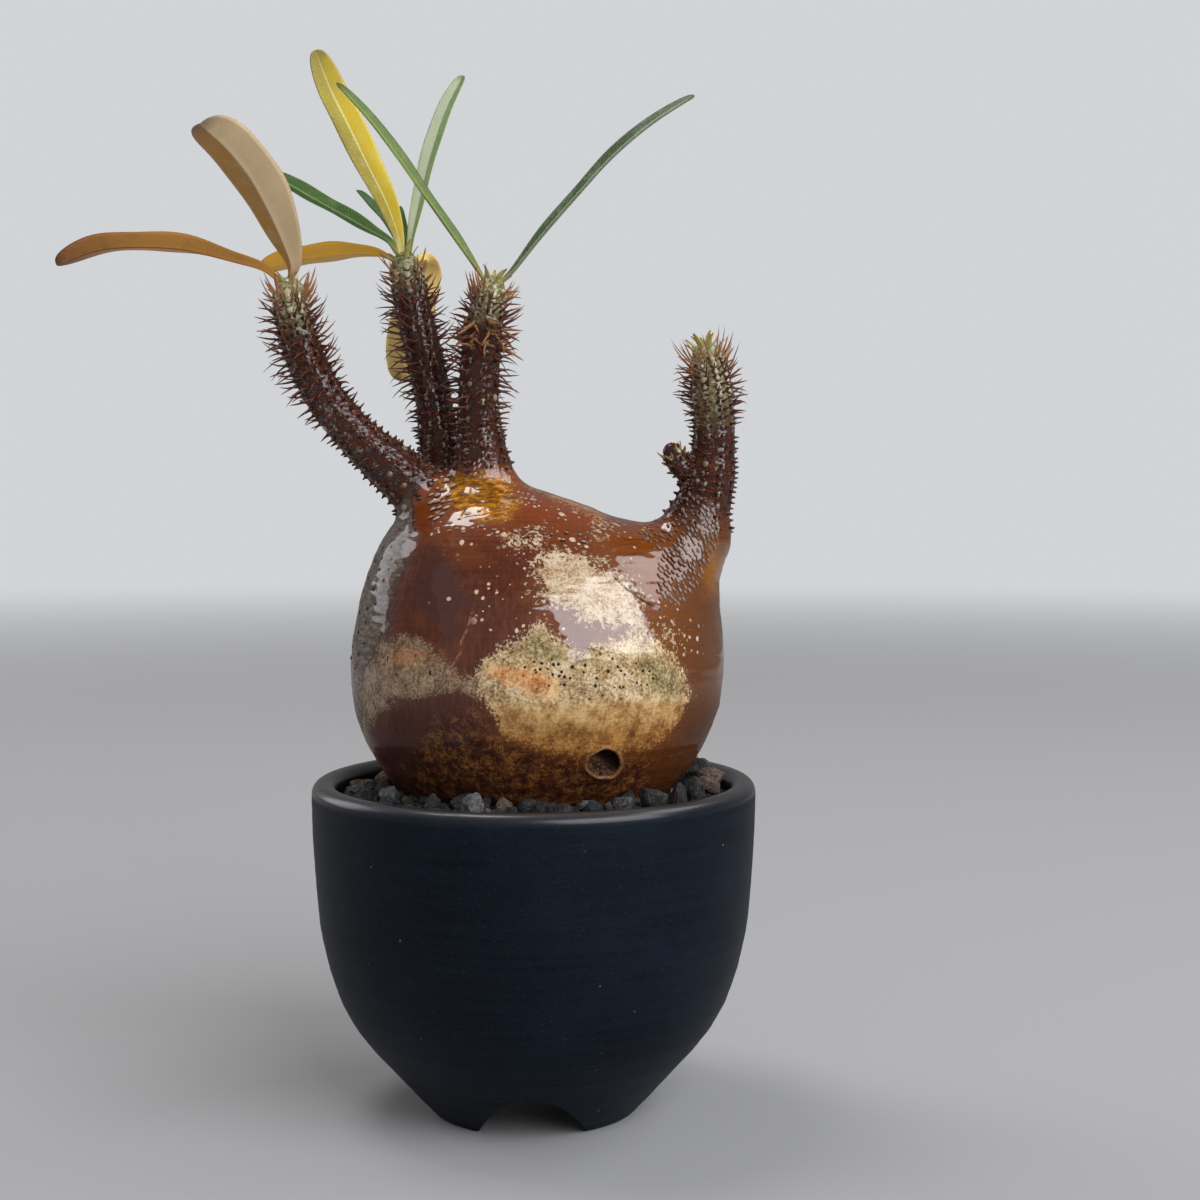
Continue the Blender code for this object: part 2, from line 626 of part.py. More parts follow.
def add_spines(owner, stem, collection):
    """Spines up the stem by the golden angle, then a ring of steeper ones round the crown."""
    draw = random.Random(stem["seed"])
    for k in range(stem["spines"]):
        t = 0.05 + 0.93 * (k + 0.5) / stem["spines"]
        centre, radius = stem_point(stem, t)
        axis = stem_axis(stem, t)
        side = axis.orthogonal().normalized()
        side.rotate(Matrix.Rotation(k * GOLDEN_ANGLE + draw.uniform(-0.15, 0.15), 3, axis))
        rise = math.radians(3 + 34 * t ** 3 + draw.uniform(-7, 7))
        direction = (side * math.cos(rise) + axis * math.sin(rise)).normalized()
        root = centre + side * radius * 0.97
        length = spine_room(owner, root, direction, spine_length_at(t, stem, draw))
        if length:
            thickness = SPINE_ROOT_RADIUS * (1.0 if length > 3 else 0.85)
            add_spine(f"{owner}_spine_{k}", root, direction, length, thickness, collection)
    crown, radius = stem_point(stem, 1)
    axis = stem_axis(stem, 1)
    for k in range(CROWN_SPINES if stem["stub_share"] < 1 else 5):
        side = axis.orthogonal().normalized()
        side.rotate(Matrix.Rotation(k * GOLDEN_ANGLE, 3, axis))
        lean = math.radians(draw.uniform(48, 74))
        outward = (side * math.cos(lean) + axis * math.sin(lean)).normalized()
        root = crown + outward * radius * 0.95
        length = spine_room(owner, root, outward, spine_length_at(1 if stem["stub_share"] < 1 else 0, stem, draw) * 0.8)
        if length:
            add_spine(f"{owner}_crown_{k}", root, outward, length, SPINE_ROOT_RADIUS * 0.9, collection)


def make_stem(name, plant):
    loose = new_collection(name + "_loose")
    stem = stem_core(name, STEMS[name], plant)
    add_spines(name, STEMS[name], loose)
    if name == "branch_right":
        stem_core("side_shoot", SIDE_SHOOT, loose)
        add_spines(name, SIDE_SHOOT, loose)
    boolean(stem, loose, "UNION", "MANIFOLD")
    bake_modifiers(stem)
    for obj in list(loose.objects):
        bpy.data.objects.remove(obj)
    bpy.data.collections.remove(loose)
    stem.data.materials.clear()
    stem.data.materials.append(material("stem"))
    smooth(stem)
    return stem


# Leaves

def leaf_half_width(name, t):
    """Half the blade's width at t: a narrow stalk, widest past the middle, round at the tip."""
    width = LEAVES[name]["width"]
    open_out = min(max((t - 0.04) / 0.56, 0.0), 1.0)
    blade = LEAF_STALK_WIDTH + (width - LEAF_STALK_WIDTH) * math.sin(open_out * math.pi / 2) ** 1.4
    tip = min(max((t - 0.78) / 0.22, 0.0), 1.0)
    return blade / 2 * math.sqrt(max(1 - tip ** 2.2, 0.02))


def leaf_path(name):
    """The midline's points, led in from just above the skin of the stem's crown."""
    leaf = LEAVES[name]
    crown, radius = stem_point(STEMS[leaf["stem"]], 1)
    turn, rise = (math.radians(a) for a in leaf["root"])
    out = Vector((math.cos(turn) * math.cos(rise), math.sin(turn) * math.cos(rise), math.sin(rise)))
    return [tuple(crown + out * (radius + 0.45))] + leaf["path"]


LEAF_PATHS = {name: leaf_path(name) for name in LEAVES}


def make_leaf(name, plant):
    """A thin blade on its midline: a grid bent along the path, folded on the midrib, then thickened."""
    points = LEAF_PATHS[name]
    face = Vector(LEAVES[name]["face"]).normalized()
    bm = bmesh.new()
    bmesh.ops.create_grid(bm, x_segments=LEAF_LENGTH_CELLS, y_segments=LEAF_CROSS_CELLS, size=1)
    for vert in bm.verts:
        along = 1 - (1 - (vert.co.x + 1) / 2) ** 1.3
        across = vert.co.y
        at = Vector(catmull_rom(points, along))
        ahead = Vector(catmull_rom(points, min(along + 0.02, 1)))
        behind = Vector(catmull_rom(points, max(along - 0.02, 0)))
        axis = (ahead - behind).normalized()
        side = axis.cross(face).normalized()
        up = side.cross(axis)
        half = leaf_half_width(name, along)
        fold = LEAF_FOLD * 2 * half * abs(across)
        vert.co = (at + side * across * half + up * fold) * MM
    leaf = new_object(name, mesh_of(bm, name), plant, LEAF_COLOURS[name])
    thick = leaf.modifiers.new("thickness", "SOLIDIFY")
    thick.thickness = LEAF_THICKNESS * MM
    thick.offset = 0
    leaf.data.shade_smooth()
    return leaf


# Soil

def soil_profile():
    """Outline of the soil from its top at the axis, down the pot's wall and back over the floor."""
    clear = GAP / MM + 0.1
    top = [(TRUNK_SOIL_RADIUS, SOIL_AT_TRUNK), (inner_radius(SOIL_AT_WALL) - clear, SOIL_AT_WALL)]
    wall = [(inner_radius(z) - clear, z) for z in reversed(WALL_HEIGHTS)]
    above_screen = FLOOR_TOP + 0.4 + 2 * clear + SCREEN_THICKNESS
    floor = [(inner_radius(18) - 3, FLOOR_TOP + 3.6), (inner_radius(16) - 11, above_screen)]
    return [(0, SOIL_AT_TRUNK)] + top + wall + floor + [(0, above_screen)]


def add_stone(name, centre, size, draw, collection):
    """One angular stone: an icosahedron stretched, turned and dented a little at each corner."""
    bm = bmesh.new()
    bmesh.ops.create_icosphere(bm, subdivisions=1, radius=size * MM)
    stretch = Matrix.Diagonal((draw.uniform(0.85, 1.2), draw.uniform(0.85, 1.1), draw.uniform(0.7, 0.95), 1))
    turn = Matrix.Rotation(draw.uniform(0, math.tau), 4, "Z")
    for vert in bm.verts:
        vert.co *= draw.uniform(0.86, 1.08)
    bmesh.ops.transform(bm, matrix=Matrix.Translation(centre * MM) @ turn @ stretch, verts=bm.verts)
    new_object(name, mesh_of(bm, name), collection)


def add_stones(collection):
    draw = random.Random(STONE_SEED)
    for row, (ring, count, smallest, largest) in enumerate(STONE_ROWS):
        for k in range(count):
            a = math.tau * (k + draw.uniform(-0.25, 0.25)) / count
            size = draw.uniform(smallest, largest)
            reach = min(ring + draw.uniform(-0.8, 0.8), inner_radius(SOIL_AT_WALL) - 1.3 * size)
            slope = (SOIL_AT_TRUNK - SOIL_AT_WALL) / (inner_radius(SOIL_AT_WALL) - TRUNK_SOIL_RADIUS)
            height = SOIL_AT_WALL + slope * (inner_radius(SOIL_AT_WALL) - reach)
            centre = Vector((reach * math.cos(a), reach * math.sin(a), height + size * 0.25))
            add_stone(f"stone_{row}_{k}", centre, size, draw, collection)


def make_soil(plant, cutters, trunk):
    soil = turned("soil", soil_profile(), plant, closed=False)
    bake_modifiers(soil)
    stones = new_collection("stones_loose")
    add_stones(stones)
    boolean(soil, stones, "UNION", "MANIFOLD")
    boolean(soil, grown(trunk, GAP, cutters), "DIFFERENCE", "MANIFOLD")
    bake_modifiers(soil)
    for obj in list(stones.objects):
        bpy.data.objects.remove(obj)
    bpy.data.collections.remove(stones)
    soil.data.materials.clear()
    soil.data.materials.append(material("soil"))
    return soil


def stand_on_origin(plant):
    """Hangs every piece from one empty, and moves that so the origin is the box's bottom centre."""
    bpy.context.view_layer.update()
    graph = bpy.context.evaluated_depsgraph_get()
    corners = [obj.matrix_world @ Vector(c) for obj in plant.objects for c in obj.evaluated_get(graph).bound_box]
    low = Vector(min(c[i] for c in corners) for i in range(3))
    high = Vector(max(c[i] for c in corners) for i in range(3))
    root = new_object("plant_root", None, plant)
    for obj in plant.objects:
        if obj != root:
            obj.parent = root
    root.location = (-(low.x + high.x) / 2, -(low.y + high.y) / 2, -low.z)


def main():
    clear_scene()
    plant = new_collection("potted_pachypodium")
    cutters = new_collection("cutters")
    cutters.hide_render = True
    make_pot(plant)
    make_pot_foot(plant, cutters)
    make_drain_screen(plant, cutters)
    trunk = make_trunk(plant, cutters)
    make_soil(plant, cutters, trunk)
    for name in STEMS:
        make_stem(name, plant)
    for name in LEAVES:
        make_leaf(name, plant)
    stand_on_origin(plant)


main()
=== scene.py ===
# %% [markdown]
# # A potted pachypodium, dressed for its picture
# The solid model already holds every piece of this plant at its true size and place. This script
# gives each one the surface of the real thing: a glossy mottled trunk, spiny stems, ageing leaves,
# a matt stoneware bowl and loose lava. The plant was measured in millimetres round the pot's axis,
# so pieces are made that way here and go into the frame, in metres, at the very end.

# %% Load the solid model
import math
import random
from functools import reduce
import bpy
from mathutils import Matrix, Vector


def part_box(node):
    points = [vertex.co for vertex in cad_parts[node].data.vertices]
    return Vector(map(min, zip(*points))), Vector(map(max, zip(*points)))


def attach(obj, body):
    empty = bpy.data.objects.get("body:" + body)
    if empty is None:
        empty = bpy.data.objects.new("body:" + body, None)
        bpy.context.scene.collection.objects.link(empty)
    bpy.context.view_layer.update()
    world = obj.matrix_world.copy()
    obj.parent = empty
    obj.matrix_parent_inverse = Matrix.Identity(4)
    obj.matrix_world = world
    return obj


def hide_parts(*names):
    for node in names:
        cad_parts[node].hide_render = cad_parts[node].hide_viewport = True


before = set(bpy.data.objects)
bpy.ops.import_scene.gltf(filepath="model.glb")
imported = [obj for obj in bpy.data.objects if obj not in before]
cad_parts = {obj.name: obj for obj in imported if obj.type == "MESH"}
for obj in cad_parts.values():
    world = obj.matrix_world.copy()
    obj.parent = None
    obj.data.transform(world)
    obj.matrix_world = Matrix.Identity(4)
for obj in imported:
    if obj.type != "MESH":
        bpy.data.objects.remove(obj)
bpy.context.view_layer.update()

from types import SimpleNamespace

import bmesh
import bpy
import numpy as np
from mathutils import Matrix, Vector, noise

MM = 0.001
POT_AXIS = (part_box("pot")[0].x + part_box("pot")[1].x) / 2
TO_FRAME = Matrix.Translation((POT_AXIS, 0, 0)) @ Matrix.Scale(MM, 4)
RIM_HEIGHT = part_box("pot")[1].z / MM

# %% [markdown]
# ## Camera
# The picture was taken with a long lens from a little above the bowl's rim, looking slightly down.
# A camera that far off shows almost no perspective, which keeps the trunk's outline true.

# %% Camera
CAMERA_PLACE = (15.7, -444.0, 147.6)  # millimetres from the pot's axis and foot
LENS, SENSOR, LOOKS_DOWN = 56.1, 36, 3.37  # the first two in millimetres, the last in degrees

camera = bpy.data.objects.new("camera", bpy.data.cameras.new("camera"))
bpy.context.collection.objects.link(camera)
camera.data.lens = LENS
camera.data.sensor_width = SENSOR
camera.data.clip_start = 0.01
camera.location = TO_FRAME @ Vector(CAMERA_PLACE)
camera.rotation_euler = (math.radians(90 - LOOKS_DOWN), 0, 0)
bpy.context.scene.camera = camera
print("camera", [round(x, 3) for x in camera.location])

# %% [markdown]
# ## Light
# A wet-looking trunk is mostly seen by what it mirrors. One broad window of light stands high in front
# on the right, and a weaker one beside it: they give the cool sheen on the trunk's right shoulder. One
# stands behind on the left and draws the grey edge there, a faint broad one fills the front, and a small
# one above lights the leaves and sets glints on the tubercles. The surroundings look pale to the camera
# and light the plant only a little, so that its darks stay dark.

# %% Windows of light
LOOKED_AT = Vector((0, 0, 120))


def soft_light(name, direction, distance, wide, tall, watts, colour):
    """A rectangular window of light, its distance and sides in millimetres, facing the plant."""
    data = bpy.data.lights.new(name, "AREA")
    data.shape = "RECTANGLE"
    data.size = wide * MM
    data.size_y = tall * MM
    data.energy = watts
    data.color = colour
    light = bpy.data.objects.new(name, data)
    towards = Vector(direction).normalized()
    light.location = TO_FRAME @ (LOOKED_AT + towards * distance)
    light.rotation_euler = towards.to_track_quat("Z", "Y").to_euler()
    bpy.context.collection.objects.link(light)


soft_light("window_right", (0.55, -0.6, 0.53), 2400, 2300, 1900, 58.0, (0.95, 0.95, 1.0))
soft_light("window_side", (0.66, 0.17, 0.76), 2400, 1300, 900, 10.0, (0.95, 0.95, 1.0))
soft_light("window_left", (-0.85, 0.5, 0.42), 2600, 1400, 1400, 13.0, (0.96, 0.94, 1.0))
soft_light("front_fill", (-0.35, -0.9, 0.35), 3200, 4200, 3200, 5.0, (1.0, 0.98, 0.96))
soft_light("from_above", (-0.3, 0.2, 1.0), 2600, 900, 900, 16.0, (1.0, 0.98, 0.95))

print("lights", len(bpy.data.lights))

# %% Surroundings
SEEN_STRENGTH, ROOM_STRENGTH = 0.8, 0.17

world = bpy.data.worlds.new("surroundings")
world.use_nodes = True
sky = world.node_tree
seen = sky.nodes["Background"]
seen.inputs["Color"].default_value = (0.80, 0.82, 0.84, 1)
seen.inputs["Strength"].default_value = SEEN_STRENGTH
around = sky.nodes.new("ShaderNodeBackground")
around.inputs["Color"].default_value = (0.97, 0.96, 0.95, 1)
around.inputs["Strength"].default_value = ROOM_STRENGTH
choice = sky.nodes.new("ShaderNodeMixShader")
sky.links.new(sky.nodes.new("ShaderNodeLightPath").outputs["Is Camera Ray"], choice.inputs[0])
sky.links.new(around.outputs[0], choice.inputs[1])
sky.links.new(seen.outputs[0], choice.inputs[2])
sky.links.new(choice.outputs[0], sky.nodes["World Output"].inputs["Surface"])
bpy.context.scene.world = world
bpy.context.scene.view_settings.view_transform = "Standard"
print("surroundings seen at", SEEN_STRENGTH, "and lighting at", ROOM_STRENGTH)

# %% Floor
FLOOR_RADIUS = 2.6  # metres; it fades into the background well before its edge

bm = bmesh.new()
bmesh.ops.create_circle(bm, cap_ends=True, segments=96, radius=FLOOR_RADIUS)
floor_mesh = bpy.data.meshes.new("floor")
bm.to_mesh(floor_mesh)
bm.free()
floor = bpy.data.objects.new("floor", floor_mesh)
bpy.context.collection.objects.link(floor)
floor_finish = bpy.data.materials.new("pale_floor")
floor_finish.use_nodes = True
floor_tree = floor_finish.node_tree
floor_shader = floor_tree.nodes["Principled BSDF"]
floor_shader.inputs["Base Color"].default_value = (0.45, 0.455, 0.46, 1)
floor_shader.inputs["Roughness"].default_value = 0.9
far = floor_tree.nodes.new("ShaderNodeVectorMath")
far.operation = "LENGTH"
floor_tree.links.new(floor_tree.nodes.new("ShaderNodeTexCoord").outputs["Object"], far.inputs[0])
fade = floor_tree.nodes.new("ShaderNodeMapRange")
fade.interpolation_type = "SMOOTHSTEP"
fade.inputs["From Min"].default_value = FLOOR_RADIUS
fade.inputs["From Max"].default_value = FLOOR_RADIUS * 0.3
floor_tree.links.new(far.outputs["Value"], fade.inputs["Value"])
floor_tree.links.new(fade.outputs[0], floor_shader.inputs["Alpha"])
floor_mesh.materials.append(floor_finish)
print("floor", FLOOR_RADIUS, "m in radius")

# %% [markdown]
# ## Words for making things
# Every piece ends the same way: its mesh is carried from millimetres round the pot's axis into the
# frame, and the solids it stands for are hidden. A material is a graph of nodes, and these few
# helpers let a graph be written in the order in which a painter would lay on the coats.

# %% How a piece is finished
def finish_piece(bm, name, material, slot, *nodes):
    """Makes a bmesh in millimetres round the pot's axis a piece of the plant."""
    bmesh.ops.transform(bm, matrix=TO_FRAME, verts=bm.verts)
    mesh = bpy.data.meshes.new(name)
    bm.to_mesh(mesh)
    bm.free()
    mesh.shade_smooth()
    mesh.materials.append(material)
    obj = bpy.data.objects.new(name, mesh)
    bpy.context.collection.objects.link(obj)
    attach(obj, "root")
    if nodes:
        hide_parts(*nodes)
    print(name, len(mesh.vertices), "points,", len(mesh.polygons), "faces")
    return obj


def catmull_rom(points, t):
    """The point at t, from 0 to 1, of a smooth curve through all the points (tuples of any length)."""
    last = len(points) - 1
    at = min(max(t, 0.0), 1.0) * last
    i = min(int(at), last - 1)
    f = at - i
    p = [points[min(max(k, 0), last)] for k in (i - 1, i, i + 1, i + 2)]
    return [0.5 * (2 * b + (c - a) * f + (2 * a - 5 * b + 4 * c - d) * f * f
                   + (3 * b - a - 3 * c + d) * f ** 3) for a, b, c, d in zip(*p)]


# %% How a material's graph is written
def paint(red, green, blue):
    """A colour given as it looks on a screen, 0 to 255, as the linear values that a shader takes."""
    parts = [c / 255 for c in (red, green, blue)]
    return [c / 12.92 if c <= 0.04045 else ((c + 0.055) / 1.055) ** 2.4 for c in parts] + [1.0]


def tree_of(*values):
    """The graph that the first socket among the values lies in."""
    return next(value.id_data for value in values if isinstance(value, bpy.types.NodeSocket))


def feed(value, socket):
    """Joins a socket to an input, or sets the input to a plain value."""
    if isinstance(value, bpy.types.NodeSocket):
        socket.id_data.links.new(value, socket)
    else:
        socket.default_value = value


def add(tree, kind, *values, **settings):
    """A node with its inputs fed in order. None leaves an input as it is."""
    node = tree.nodes.new(kind)
    for name, value in settings.items():
        setattr(node, name, value)
    for value, socket in zip(values, node.inputs):
        if value is not None:
            feed(value, socket)
    return node


def fed(tree, kind, named, **settings):
    """A node with its inputs fed by their names."""
    node = add(tree, kind, **settings)
    for name, value in named.items():
        feed(value, node.inputs[name])
    return node


# %% Sums on values that change over the surface
def maths(operation, *values, clamp=False):
    """One of the values has to be a socket, the others may be plain numbers."""
    tree = tree_of(*values)
    return add(tree, "ShaderNodeMath", *values, operation=operation, use_clamp=clamp).outputs[0]


def plus(*values):
    return reduce(lambda a, b: maths("ADD", a, b), values)


def times(*values):
    return reduce(lambda a, b: maths("MULTIPLY", a, b), values)


def minus(a, b):
    return maths("SUBTRACT", a, b)


def larger(a, b):
    return maths("MAXIMUM", a, b)


def grown_from(value, low, high):
    """0 where the value is below low, 1 above high, smooth between."""
    node = add(tree_of(value), "ShaderNodeMapRange", value, low, high, interpolation_type="SMOOTHSTEP")
    return node.outputs[0]


# %% Patterns and colours
def cloud(where, scale, detail=4.0, roughness=0.55, warp=0.0):
    named = {"Vector": where, "Scale": scale, "Detail": detail, "Roughness": roughness, "Distortion": warp}
    return fed(tree_of(where), "ShaderNodeTexNoise", named).outputs["Fac"]


def cells(where, scale, output="Distance"):
    named = {"Vector": where, "Scale": scale}
    return fed(tree_of(where), "ShaderNodeTexVoronoi", named).outputs[output]


def stretched(where, x, y, z):
    """Coordinates scaled apart, so that a pattern read from them is drawn out."""
    return add(tree_of(where), "ShaderNodeMapping", where, None, None, (x, y, z)).outputs[0]


def painted_on(tree, name):
    """A value that the mesh carries at its points."""
    return add(tree, "ShaderNodeAttribute", attribute_name=name).outputs["Fac"]


def mixed(share, under, over):
    """The colour over laid on the colour under, by its share."""
    node = add(tree_of(share, under, over), "ShaderNodeMix", data_type="RGBA")
    for value, index in ((share, 0), (under, 6), (over, 7)):
        feed(value, node.inputs[index])
    return node.outputs[2]


def shades(value, *stops):
    """A run of colours along a value. Each stop is its place and its red, green and blue, 0 to 255."""
    node = add(tree_of(value), "ShaderNodeValToRGB", value)
    elements = node.color_ramp.elements
    for index, (place, *colour) in enumerate(stops):
        element = elements[index] if index < 2 else elements.new(place)
        element.position = place
        element.color = paint(*colour)
    return node.outputs["Color"]


# %% A material, and its relief
def new_material(name):
    """A material with its shader, and coordinates in millimetres round the pot's axis."""
    material = bpy.data.materials.new(name)
    material.use_nodes = True
    tree = material.node_tree
    shader = tree.nodes["Principled BSDF"]
    place = add(tree, "ShaderNodeTexCoord").outputs["Object"]
    shift, scale = (-POT_AXIS / MM, 0, 0), (1 / MM, 1 / MM, 1 / MM)
    mm = add(tree, "ShaderNodeMapping", place, shift, None, scale).outputs[0]
    return material, tree, shader, mm


def bumped(shader, height, depth):
    """Relief of that depth, in millimetres, from a height of 0 to 1."""
    node = fed(tree_of(height), "ShaderNodeBump", {"Height": height, "Distance": depth * MM, "Strength": 1.0})
    feed(node.outputs[0], shader.inputs["Normal"])


# %% [markdown]
# ## Effects that several materials share
# Bark, stems, stones and stoneware all carry specks, and most of them have blotches with ragged
# edges. Each such effect is a group of nodes, built once and placed in a material with its own sizes.

# %% How a group is made and placed
def new_group(name, inputs, outputs):
    """An empty group: Where is a place and the rest are numbers. Returns its tree, inputs and outputs."""
    tree = bpy.data.node_groups.new(name, "ShaderNodeTree")
    for socket in inputs:
        kind = "NodeSocketVector" if socket == "Where" else "NodeSocketFloat"
        tree.interface.new_socket(socket, in_out="INPUT", socket_type=kind)
    for socket in outputs:
        tree.interface.new_socket(socket, in_out="OUTPUT", socket_type="NodeSocketFloat")
    return tree, tree.nodes.new("NodeGroupInput").outputs, tree.nodes.new("NodeGroupOutput").inputs


def place_group(group, **named):
    """The outputs of a group that is placed in a material with its own values."""
    return fed(tree_of(*named.values()), "ShaderNodeGroup", named, node_tree=group).outputs


# %% Specks
def make_specks():
    """Scattered dots: their Spacing in millimetres, their Size as a share of it, and the Share kept."""
    tree, given, out = new_group("specks", ("Where", "Spacing", "Size", "Share"), ("Mask",))
    per_mm = maths("DIVIDE", 1.0, given["Spacing"])
    ragged = cloud(given["Where"], times(per_mm, 2.6), 2.0)
    away = plus(cells(given["Where"], per_mm), times(ragged, 0.3))
    parts = add(tree, "ShaderNodeSeparateColor", cells(given["Where"], per_mm, "Color")).outputs
    size = times(given["Size"], plus(0.55, parts[1]))
    dot = grown_from(minus(plus(size, 0.15), away), 0.0, 0.05)
    feed(times(dot, maths("LESS_THAN", parts[0], given["Share"])), out["Mask"])
    return tree


SPECKS = make_specks()


def specks(where, spacing, size, share):
    return place_group(SPECKS, Where=where, Spacing=spacing, Size=size, Share=share)["Mask"]


# %% Blotches
def make_blotches():
    """Where a level is above 0, with a ragged edge of Flakes to a millimetre that reach over it by Grain."""
    tree, given, out = new_group(
        "blotches", ("Where", "Level", "Coarse", "Flakes", "Grain", "Softness"), ("Mask",))
    broad = minus(cloud(given["Where"], given["Coarse"], 3.0, 0.6), 0.5)
    fine = minus(cloud(given["Where"], given["Flakes"], 4.0, 0.75), 0.5)
    level = plus(given["Level"], plus(times(broad, 1.3), times(fine, given["Grain"])))
    feed(grown_from(level, 0.0, given["Softness"]), out["Mask"])
    return tree


BLOTCHES = make_blotches()


# %% Fine lines
def make_veins():
    """Thin lines that wander and branch as in marble: Scale in turns to a millimetre, Width of a line."""
    tree, given, out = new_group("veins", ("Where", "Scale", "Width"), ("Mask",))
    wander = cloud(given["Where"], given["Scale"], 3.0, 0.55, 0.8)
    off = maths("ABSOLUTE", minus(wander, 0.5))
    feed(minus(1.0, grown_from(off, 0.0, given["Width"])), out["Mask"])
    return tree


VEINS = make_veins()


def veins(where, scale, width):
    return place_group(VEINS, Where=where, Scale=scale, Width=width)["Mask"]


print("groups", [group.name for group in (SPECKS, BLOTCHES, VEINS)])

# %% [markdown]
# ## The trunk and stems as one skin
# The swollen trunk and its four stems grew as one body, so their skin is one piece here. Its form is
# a formula: a few ellipsoids and cones melted into each other, as clay is, with a tube for each stem.
# A coarse heap of balls and cones is remeshed into one closed skin, and every point then slides onto
# the surface that the formula gives. That keeps the solid's form and leaves no seam at the necks.

# %% The formula of the plant's body
TRUNK_BODY = ((0.4, 0, 105), (43.8, 38.5, 40.0, 42.5))  # centre, then half its width, depth, rise and drop
TRUNK_SHOULDER = ((-12.4, 0, 126.5), (25.1, 25.5, 22.2, 24.0), 10.0)
TRUNK_CONES = [
    ((21.5, 0, 113), 23.6, (38.4, 0, 136), 7.2, 9.0),
    ((37.8, 0, 136), 7.2, (42.0, 0, 152), 5.4, 6.0),
    ((-20, -1, 141), 7.8, (-34.5, -4.2, 154), 5.4, 4.0),
    ((-17, 5, 143), 6.6, (-23.3, 8.2, 162), 4.5, 4.0),
    ((-11, -2, 141), 9.2, (-12.8, -3.1, 163), 4.8, 5.0),
    ((2, 1, 66), 17.0, (4, 2, 44), 5.0, 8.0),
]
STEMS = {
    "branch_left": [(-31.0, -3.6, 151.5, 5.5), (-36.6, -4.4, 155.8, 5.2), (-42.2, -5.2, 161.2, 4.8),
                    (-47.8, -6.0, 168.2, 4.6), (-52.0, -6.8, 176.2, 4.5), (-54.6, -7.4, 183.4, 4.2),
                    (-55.8, -8.0, 190.0, 3.7), (-56.0, -8.4, 193.4, 3.3)],
    "branch_back": [(-22.8, 8.0, 157.0, 4.6), (-23.4, 8.3, 162.5, 4.5), (-24.6, 8.8, 170.0, 4.4),
                    (-26.4, 9.2, 178.8, 4.4), (-28.6, 9.6, 188.0, 4.3), (-30.1, 9.9, 195.6, 3.9),
                    (-31.2, 10.0, 201.6, 3.3)],
    "branch_middle": [(-12.6, -3.0, 158.0, 4.9), (-12.8, -3.2, 163.0, 4.8), (-12.8, -3.4, 170.0, 4.7),
                      (-12.3, -3.6, 178.0, 4.6), (-11.4, -3.8, 185.6, 4.3), (-10.3, -3.9, 191.2, 3.7),
                      (-9.6, -4.0, 194.4, 3.2)],
    "branch_right": [(41.0, 0.0, 146.0, 5.6), (42.0, 0.0, 152.0, 5.3), (42.6, 0.1, 158.5, 4.9),
                     (42.7, 0.2, 164.5, 4.7), (42.3, 0.3, 170.0, 4.5), (41.6, 0.4, 175.2, 4.1),
                     (40.9, 0.5, 179.0, 3.4)],
    "side_shoot": [(40.0, -0.6, 149.4, 2.4), (36.6, -1.4, 151.2, 2.4), (34.2, -1.8, 153.8, 2.6),
                   (32.8, -2.0, 156.6, 2.3)],
}
STEM_MELT = 1.6
BRANCHES = [name for name in STEMS if name != "side_shoot"]
print("body of", len(TRUNK_CONES) + 2, "forms and", len(STEMS), "stems")


# %% How far a point lies outside the body
def ellipsoid_distance(points, centre, radii):
    """About how far each point lies outside an ellipsoid whose rise and drop differ."""
    wide, deep, up, down = radii
    away = points - np.array(centre, float)
    tall = np.where(away[:, 2] > 0, up, down)
    size = np.column_stack([np.full(len(points), wide), np.full(len(points), deep), tall])
    scaled = away / size
    reach = np.linalg.norm(scaled, axis=1)
    slope = np.linalg.norm(scaled / size, axis=1)
    return reach * (reach - 1) / np.maximum(slope, 1e-9)


def cone_distance(points, foot, foot_radius, head, head_radius):
    foot = np.array(foot, float)
    axis = np.array(head, float) - foot
    h = np.clip((points - foot) @ axis / (axis @ axis), 0, 1)
    radius = foot_radius + (head_radius - foot_radius) * h
    return np.linalg.norm(points - foot - h[:, None] * axis, axis=1) - radius


def melt(a, b, width):
    """The smaller of two distances, rounded off where they are within width of each other."""
    h = np.clip(0.5 + 0.5 * (b - a) / width, 0, 1)
    return b + (a - b) * h - width * h * (1 - h)


def stem_links(name, steps=3):
    """The stem's tube as short cones, close enough together to look like one bend."""
    count = (len(STEMS[name]) - 1) * steps
    stations = [catmull_rom(STEMS[name], k / count) for k in range(count + 1)]
    return list(zip(stations, stations[1:]))


def stem_distance(points, name):
    links = [cone_distance(points, a[:3], a[3], b[:3], b[3]) for a, b in stem_links(name)]
    return np.minimum.reduce(links)


def body_distance(points):
    """How far each point, in millimetres, lies outside the skin of the whole plant."""
    distance = ellipsoid_distance(points, *TRUNK_BODY)
    centre, radii, width = TRUNK_SHOULDER
    distance = melt(distance, ellipsoid_distance(points, centre, radii), width)
    for foot, foot_radius, head, head_radius, width in TRUNK_CONES:
        distance = melt(distance, cone_distance(points, foot, foot_radius, head, head_radius), width)
    for name in STEMS:
        distance = melt(distance, stem_distance(points, name), STEM_MELT)
    return distance


# %% How points slide onto the body
def points_of(mesh):
    flat = np.empty(len(mesh.vertices) * 3, np.float32)
    mesh.vertices.foreach_get("co", flat)
    return flat.reshape(-1, 3).astype(float)


def settled(points, rounds=3):
    """The points slid straight onto the plant's skin, and which way is out of it there."""
    step = 0.05
    for _ in range(rounds):
        here = body_distance(points)
        slope = np.column_stack([(body_distance(points + step * axis) - here) / step for axis in np.eye(3)])
        points = points - slope * (here / np.maximum((slope ** 2).sum(axis=1), 0.2))[:, None]
    return points, slope / np.linalg.norm(slope, axis=1)[:, None]


